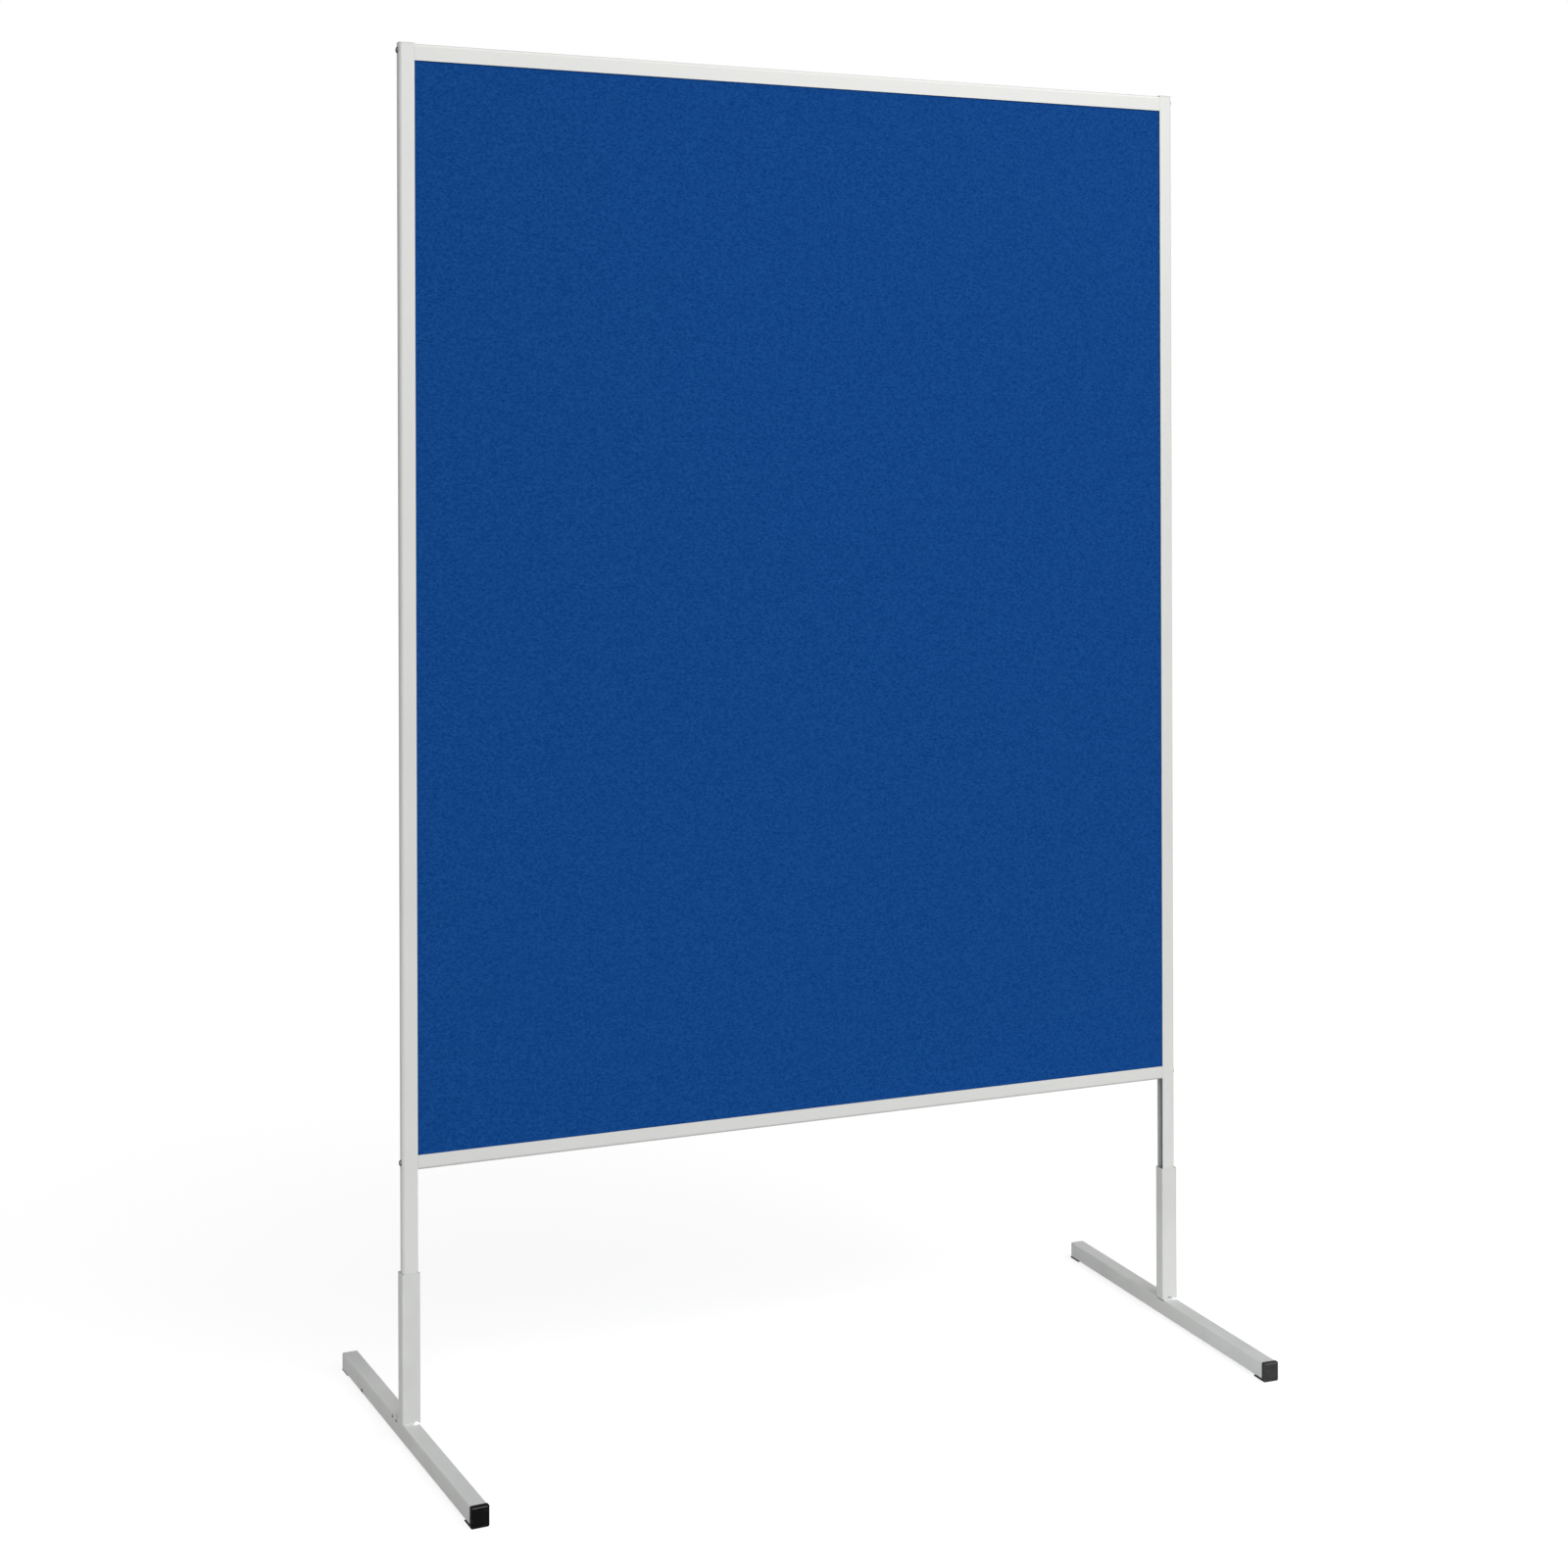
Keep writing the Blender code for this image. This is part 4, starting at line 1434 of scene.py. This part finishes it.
@dataclass
class EndCap:
    """A black end cap: flange with a raised middle, pad to stand on, and plug.

    It is modelled on the floor for the end that looks towards -Y, with the tube's end at y = 0.
    """

    flange: float
    lip: float
    width: float = 0.022
    height: float = 0.0234
    pad_height: float = 0.0030
    pad_length: float = 0.021
    wall: float = 0.0015
    plug: float = 0.012
    corner: float = 0.0022
    border: float = 0.0018
    bevel: float = 0.0011
    raised: float = 0.0003
    edge: float = 0.00045

    def slab(self, half: float, front: float, back: float, top: float) -> bpy.types.Object:
        """Return a slab that stands on the floor.

        Args:
            half: half its width.
            front: where it starts along Y.
            back: where it ends along Y.
            top: its height.

        Returns:
            The slab, with square edges.
        """
        return Bench.block("slab", (-half, front, 0), (half, back, top))

    def shape(self) -> bpy.types.Object:
        """Build the cap.

        Returns:
            The cap.
        """
        half = self.width / 2 + self.lip
        tube_top = self.pad_height + self.height
        piece = self.slab(half, -self.flange, -GAP, tube_top + self.lip)
        Bench.pick_faces(piece, lambda middle, normal: normal.y < -ALIGNED)
        bpy.ops.mesh.inset(thickness=self.border, depth=0)
        bpy.ops.mesh.inset(thickness=self.bevel, depth=self.raised)
        bpy.ops.object.mode_set(mode="OBJECT")
        Bench.round_edges(
            piece, self.corner, 6, lambda middle, way: abs(way.y) > ALIGNED and abs(middle.x) > half - GAP,
        )
        pad_half = self.width / 2 + max(self.lip, 0)
        pad_front = -self.flange / 2 if self.lip > 0 else -self.flange
        pad = self.slab(pad_half, pad_front, self.pad_length - GAP, self.pad_height - GAP)
        Bench.round_edges(pad, self.corner, 6, lambda middle, way: abs(way.y) > ALIGNED and middle.z < GAP)
        Bench.combine(piece, pad, "UNION")
        margin = self.wall + GAP
        plug = Bench.block(
            "plug", (margin - self.width / 2, -self.flange / 2, self.pad_height + margin),
            (self.width / 2 - margin, self.plug - GAP, tube_top - margin),
        )
        Bench.combine(piece, plug, "UNION")
        Bench.soften(piece, self.edge, steps=3, angle=35.0)
        return piece


@dataclass
class Feet:
    """The two feet: for each the sleeve that takes the stile, the crossbar, welds, end caps and small screws.

    Every piece is modelled with its foot's origin on the floor under the stile's axis, copied for both
    feet, and then set under its stile.
    """

    reach: float = 0.295
    front_flange: float = 0.005
    front_lip: float = 0.0009
    rear_flange: float = 0.0022
    rear_lip: float = -0.0012
    bar_width: float = 0.022
    bar_height: float = 0.0234
    bar_wall: float = 0.0015
    bar_corner: float = 0.0015
    pad_height: float = 0.0030
    sleeve_width: float = 0.025
    sleeve_depth: float = 0.020
    sleeve_wall: float = 0.0012
    sleeve_corner: float = 0.0016
    sleeve_length: float = 0.2001
    vent_radius: float = 0.0030
    vent_back: float = 0.190
    vent_rise: float = 0.0044
    screw_backs: tuple[tuple[str, float], ...] = (("front", 0.023), ("rear", 0.041))
    screw_drop: float = 0.0037
    screw_radius: float = 0.0011
    screw_head: float = 0.0021
    edge: float = 0.0002
    bead_seed: float = 3.1

    @property
    def top(self) -> float:
        """Return the height of the crossbar's top."""
        return self.pad_height + self.bar_height

    def under(self, side: Side) -> Matrix:
        """Return a foot's place under its stile, turned in by the sleeve's play."""
        turn = Matrix.Rotation(-side.value * FOOT_TURN, 4, "Z")
        return Matrix.Translation((side.value * STILE_AXIS, 0, 0)) @ turn

    def set_in(
        self, piece: bpy.types.Object, finish: Finish, finishes: Finishes, side: Side, part: str,
        local: Matrix = Matrix.Identity(4),
    ) -> None:
        """Set a piece under the stile and dress it.

        Args:
            piece: the piece.
            finish: its finish.
            finishes: the object's finishes.
            side: the foot that it belongs to.
            part: the node that it replaces, without the side.
            local: its place in the foot.
        """
        Bench.place(piece, self.under(side) @ local)
        finishes.dress(piece, finish, f"{side.word}_foot", f"{side.word}_{part}")

    def sleeves(self, finishes: Finishes) -> None:
        """Build both sleeves.

        Args:
            finishes: the object's finishes.
        """
        sleeve = Tube(
            "socket", self.sleeve_width, self.sleeve_depth, self.sleeve_wall, self.sleeve_corner,
            self.sleeve_length,
        ).shape()
        Bench.soften(sleeve, self.edge, steps=2, angle=45.0)
        lift = Matrix.Translation((0, 0, self.top + GAP))
        for side, piece in zip(Side, Bench.repeat(sleeve, [f"{side.word}_socket" for side in Side])):
            self.set_in(piece, finishes.coat, finishes, side, "sleeve", lift)

    def bars(self, finishes: Finishes) -> None:
        """Build both crossbars, each drilled in its outer side.

        Args:
            finishes: the object's finishes.
        """
        front, rear = self.front_flange - self.reach, self.reach - self.rear_flange
        bar = Tube(
            "beam", self.bar_width, self.bar_height, self.bar_wall, self.bar_corner, rear - front,
        ).shape()
        lay = Matrix.Translation((0, rear, self.pad_height + self.bar_height / 2))
        Bench.place(bar, lay @ Matrix.Rotation(math.pi / 2, 4, "X"))
        level, radius = self.top - self.screw_drop, self.screw_radius + GAP
        drills = [(self.vent_back, self.pad_height + self.vent_rise, self.vent_radius)]
        drills += [(back, level, radius) for _, back in self.screw_backs]
        for side, piece in zip(Side, Bench.repeat(bar, [f"{side.word}_beam" for side in Side])):
            inner = side.value * (self.bar_width / 2 - self.bar_wall - OVERRUN)
            outer = side.value * (self.bar_width / 2 + OVERRUN)
            for back, level, radius in drills:
                drill = Bench.rod("tool", (inner, back, level), (outer, back, level), radius, sides=40)
                Bench.combine(piece, drill, "DIFFERENCE")
            Bench.soften(piece, self.edge, steps=2, angle=45.0)
            self.set_in(piece, finishes.coat, finishes, side, "crossbar")

    def beads(self, finishes: Finishes) -> None:
        """Build the weld beads in front of and behind both sleeves.

        Args:
            finishes: the object's finishes.
        """
        places = [(side, facing) for side in Side for facing in Facing]
        bead = WeldBead()
        names = [f"{side.word}_{facing.word}_bead" for side, facing in places]
        for (side, facing), piece in zip(places, Bench.repeat(bead.shape(), names)):
            bead.roughen(piece, self.bead_seed * side.value + facing.value)
            turn = Matrix.Rotation(0 if facing is Facing.REAR else math.pi, 4, "Z")
            local = turn @ Matrix.Translation((0, self.sleeve_depth / 2, self.top))
            self.set_in(piece, finishes.bead_coat, finishes, side, f"{facing.word}_weld", local)

    def caps(self, finishes: Finishes) -> None:
        """Build the end caps of both crossbars.

        Args:
            finishes: the object's finishes.
        """
        ends = (
            (Facing.FRONT, self.front_flange, self.front_lip, Matrix.Identity(4)),
            (Facing.REAR, self.rear_flange, self.rear_lip, Matrix.Rotation(math.pi, 4, "Z")),
        )
        for facing, flange, lip, turn in ends:
            cap = EndCap(
                flange, lip, self.bar_width, self.bar_height, self.pad_height, wall=self.bar_wall,
            ).shape()
            local = turn @ Matrix.Translation((0, flange - self.reach, 0))
            names = [f"{side.word}_{facing.word}_stopper" for side in Side]
            for side, piece in zip(Side, Bench.repeat(cap, names)):
                self.set_in(piece, finishes.black, finishes, side, f"{facing.word}_cap", local)

    def screws(self, finishes: Finishes) -> None:
        """Build the small screws in the outer sides of both crossbars.

        Args:
            finishes: the object's finishes.
        """
        places = [(side, label, back) for side in Side for label, back in self.screw_backs]
        screw = DomedScrew(
            "side_screw", head_radius=self.screw_head, head_height=0.0014, shank_radius=self.screw_radius,
            length=0.0065, point=0.001, pitch=0.0008,
        ).shape()
        names = [f"{side.word}_{label}_side_screw" for side, label, _ in places]
        for (side, label, back), piece in zip(places, Bench.repeat(screw, names)):
            seat = (side.value * (self.bar_width / 2 + SEAT), back, self.top - self.screw_drop)
            local = Matrix.Translation(seat) @ Matrix.Rotation(side.value * math.pi / 2, 4, "Y")
            self.set_in(piece, finishes.steel, finishes, side, f"{label}_foot_screw", local)

    def build(self, finishes: Finishes) -> None:
        """Build and dress both feet.

        Args:
            finishes: the object's finishes.
        """
        self.sleeves(finishes)
        self.bars(finishes)
        self.beads(finishes)
        self.caps(finishes)
        self.screws(finishes)


@dataclass
class Board:
    """The board: stiles, rails, caps, screws, core and felts."""

    width: float = 1.200
    height: float = 1.500
    top_face: float = 0.0225
    bottom_face: float = 0.0195
    top_port: float = 0.0092
    bottom_port: float = 0.0098
    bite: float = 0.0044
    joint: float = 0.0001
    stile_bottom: float = 0.0267
    bottom: float = 0.3633

    @property
    def top(self) -> float:
        """Return the height of the top rail's upper side."""
        return self.bottom + self.height

    @property
    def levels(self) -> dict[str, float]:
        """Return the heights of the frame screws."""
        return {"top": self.top - self.top_port, "bottom": self.bottom + self.bottom_port}

    def end(self, side: Side, level: float) -> Matrix:
        """Return the place of a piece on a stile's outer face.

        Args:
            side: the board's end.
            level: the height.

        Returns:
            The place, with the piece's +X towards the board's middle.
        """
        turn = Matrix.Rotation(0 if side is Side.LEFT else math.pi, 4, "Z")
        return Matrix.Translation((side.value * self.width / 2, 0, level)) @ turn

    def stiles(self, finishes: Finishes) -> None:
        """Build both stiles and the caps on their upper ends.

        Args:
            finishes: the object's finishes.
        """
        holes = tuple(level - self.stile_bottom for level in self.levels.values())
        stile = FrameProfile("upright", STILE_FACE, self.top - self.stile_bottom, holes).shape()
        for side, piece in zip(Side, Bench.repeat(stile, [f"{side.word}_upright" for side in Side])):
            Bench.place(piece, self.end(side, self.stile_bottom))
            finishes.dress(piece, finishes.upright, "board", f"{side.word}_stile")
        cap = StileCap().shape()
        for side, piece in zip(Side, Bench.repeat(cap, [f"{side.word}_end_cap" for side in Side])):
            Bench.place(piece, self.end(side, self.top + SEAT))
            finishes.dress(piece, finishes.cap, "board", f"{side.word}_stile_cap")

    def rails(self, finishes: Finishes) -> None:
        """Build the two rails between the stiles, which differ in height.

        Args:
            finishes: the object's finishes.
        """
        length = self.width - 2 * (STILE_FACE + self.joint)
        for label, face, port, level, tilt in (
            ("top", self.top_face, self.top_port, self.top, 1),
            ("bottom", self.bottom_face, self.bottom_port, self.bottom, -1),
        ):
            piece = FrameProfile(f"{label}_bar", face, length, port=port).shape()
            turn = Matrix.Rotation(tilt * math.pi / 2, 4, "Y")
            Bench.place(piece, Matrix.Translation((-tilt * length / 2, 0, level)) @ turn)
            finishes.dress(piece, finishes.level, "board", f"{label}_rail")

    def screws(self, finishes: Finishes) -> None:
        """Build the four frame screws.

        Args:
            finishes: the object's finishes.
        """
        places = [(side, label) for side in Side for label in self.levels]
        names = [f"{label}_{side.word}_bolt" for side, label in places]
        out = Matrix.Translation((-SEAT, 0, 0)) @ Matrix.Rotation(-math.pi / 2, 4, "Y")
        for (side, label), piece in zip(places, Bench.repeat(DomedScrew("bolt").shape(), names)):
            Bench.place(piece, self.end(side, self.levels[label]) @ out)
            finishes.dress(piece, finishes.steel, "board", f"{label}_{side.word}_screw")

    def panel(self, finishes: Finishes, frame: dict) -> None:
        """Build the felts and give the core its finish.

        Args:
            finishes: the object's finishes.
            frame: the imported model.
        """
        width = self.width - 2 * STILE_FACE + 2 * self.bite
        bottom = self.bottom + self.bottom_face - self.bite
        height = self.top - self.top_face + self.bite - bottom
        FeltFaces(width, height, bottom, bite=self.bite).build(finishes)
        core = frame["nodes"]["board_core"]
        core.data.materials.clear()
        core.data.materials.append(finishes.core.material())

    def build(self, finishes: Finishes, frame: dict) -> None:
        """Build and dress the whole board.

        Args:
            finishes: the object's finishes.
            frame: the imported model.
        """
        self.stiles(finishes)
        self.rails(finishes)
        self.screws(finishes)
        self.panel(finishes, frame)


@dataclass(frozen=True)
class PhotoCamera:
    """The camera, as worked out from the photograph's perspective, for a square picture."""

    place: tuple[float, float, float] = (-1.3997, -3.1758, 1.2877)
    yaw: float = math.radians(24.05)
    roll: float = math.radians(-0.18)
    picture: float = 1600.0
    focal: float = 2474.2
    centre: Span = (839.44, 484.04)
    sensor: float = 36.0
    clip: Span = (0.01, 200.0)

    def build(self) -> None:
        """Add the camera, and make it the scene's own."""
        data = bpy.data.cameras.new("photo_camera")
        data.sensor_width = self.sensor
        data.sensor_fit = "HORIZONTAL"
        data.lens = self.sensor * self.focal / self.picture
        data.shift_x = (self.picture / 2 - self.centre[0]) / self.picture
        data.shift_y = (self.centre[1] - self.picture / 2) / self.picture
        data.clip_start, data.clip_end = self.clip
        camera = bpy.data.objects.new("photo_camera", data)
        bpy.context.scene.collection.objects.link(camera)
        right = Vector((math.cos(self.yaw), -math.sin(self.yaw), 0))
        ahead = Vector((math.sin(self.yaw), math.cos(self.yaw), 0))
        up = Vector((0, 0, 1))
        rolled_right = right * math.cos(self.roll) + up * math.sin(self.roll)
        rolled_up = up * math.cos(self.roll) - right * math.sin(self.roll)
        turn = Matrix((rolled_right, rolled_up, -ahead)).transposed().to_4x4()
        camera.matrix_world = Matrix.Translation(self.place) @ turn
        bpy.context.scene.camera = camera


@dataclass(frozen=True)
class FarLight:
    """A soft light that comes from far away.

    The strength is how brightly a white face square to it shows, the angle how wide it looks from the
    object, and the way the direction that it shines in. Glossy surfaces mirror it or not.
    """

    name: str
    strength: float
    angle: float
    way: Point
    mirrored: bool = True

    def build(self) -> None:
        """Add the lamp to the scene."""
        data = bpy.data.lights.new(self.name, "SUN")
        data.energy = self.strength * math.pi
        data.angle = self.angle
        lamp = bpy.data.objects.new(self.name, data)
        bpy.context.scene.collection.objects.link(lamp)
        lamp.visible_glossy = self.mirrored
        lamp.rotation_euler = Vector(self.way).to_track_quat("-Z", "Y").to_euler()


@dataclass(frozen=True)
class SoftBox:
    """A round soft box, which the camera doesn't see.

    The energy is in watts, the size is its diameter, and the spread the angle that its light is held to.
    """

    name: str
    energy: float
    size: float
    place: Point
    target: Point
    spread: float = math.pi

    def build(self) -> None:
        """Add the lamp to the scene, aimed at its target."""
        data = bpy.data.lights.new(self.name, "AREA")
        data.shape = "DISK"
        data.size = self.size
        data.energy = self.energy
        data.spread = self.spread
        lamp = bpy.data.objects.new(self.name, data)
        bpy.context.scene.collection.objects.link(lamp)
        lamp.visible_camera = False
        lamp.location = self.place
        way = Vector(self.target) - Vector(self.place)
        lamp.rotation_euler = way.to_track_quat("-Z", "Y").to_euler()


@dataclass(frozen=True)
class Studio:
    """A plain pale floor under soft light, with a white surround."""

    ambient: float = 0.36
    near_white: float = 0.53
    far_white: float = 0.42
    near_reach: float = 1.0
    far_reach: float = 2.4
    floor_size: float = 120.0
    floor_shade: float = 0.3
    floor_glow: float = 0.80
    lamps: tuple[FarLight | SoftBox, ...] = (
        FarLight("key", 0.60, math.radians(70.0), (-0.35, 1.0, -0.70)),
        FarLight("fill", 0.22, math.radians(70.0), (1.0, 0.12, -0.12)),
        FarLight("rear", 0.35, math.radians(25.0), (-0.05, -1.0, 0.0), mirrored=False),
        SoftBox("high_box", 24.0, 1.6, (1.4, -2.2, 3.1), (0.2, 0.0, 1.5)),
        SoftBox("low_box", 1.35, 0.5, (-1.6, 0.1, 0.25), (-0.6, 0.0, 0.1)),
        SoftBox("right_box", 0.6, 0.5, (-1.1, -1.2, 0.3), (0.6, -0.2, -0.15), math.radians(40.0)),
    )

    def world(self) -> None:
        """Light the scene softly all round, and show a white surround."""
        world = bpy.data.worlds.new("surround")
        bpy.context.scene.world = world
        graph = Graph(world, "ShaderNodeOutputWorld")
        light = graph.white("ShaderNodeBackground", self.ambient)
        graph.show(light, graph.white("ShaderNodeBackground", 1.0))

    def bounce_tone(self, graph: Graph) -> bpy.types.NodeSocket:
        """Add the floor's tone as a reflector: a painted pool of light, paler near the object and darker some
        way out.

        Args:
            graph: the floor's nodes.

        Returns:
            The tone.
        """
        source = graph.add("ShaderNodeTexCoord")
        reach = graph.add("ShaderNodeVectorMath", operation="LENGTH")
        tone = graph.add("ShaderNodeMapRange", interpolation_type="SMOOTHSTEP")
        numbers = (self.near_reach, self.far_reach, self.near_white, self.far_white)
        for socket, number in zip(list(tone.inputs)[1:5], numbers):
            socket.default_value = number
        graph.link(source.outputs["Object"], reach.inputs[0])
        graph.link(reach.outputs["Value"], tone.inputs["Value"])
        return tone.outputs["Result"]

    def floor(self) -> None:
        """Lay the floor, white to look at but for the object's shadow."""
        Bench.clear()
        bpy.ops.mesh.primitive_plane_add(size=self.floor_size, location=(0, 0, 0))
        ground = Bench.settle("floor")
        material = bpy.data.materials.new("floor_white")
        graph = Graph(material, "ShaderNodeOutputMaterial")
        bounce = graph.add("ShaderNodeBsdfDiffuse")
        # painted pool of light on the floor, seen only by the light that it throws back
        graph.link(self.bounce_tone(graph), bounce.inputs["Color"])
        shade = graph.add("ShaderNodeBsdfDiffuse")
        shade.inputs["Color"].default_value = (self.floor_shade, self.floor_shade, self.floor_shade, 1)
        both = graph.add("ShaderNodeAddShader")
        graph.link(shade.outputs[0], both.inputs[0])
        graph.link(graph.white("ShaderNodeEmission", self.floor_glow).outputs[0], both.inputs[1])
        graph.show(bounce, both)
        ground.data.materials.append(material)

    def build(self) -> None:
        """Build the whole studio: surround, floor and lamps."""
        self.world()
        self.floor()
        for lamp in self.lamps:
            lamp.build()
        bpy.context.scene.view_settings.view_transform = "Standard"


def main() -> None:
    """Build the camera, the object and the studio."""
    logging.basicConfig(level=logging.INFO, format="%(name)s: %(message)s")
    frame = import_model()
    PhotoCamera().build()
    finishes = Finishes()
    Board().build(finishes, frame)
    Feet().build(finishes)
    Studio().build()
    Bench.clear()


if __name__ == "__main__":
    main()
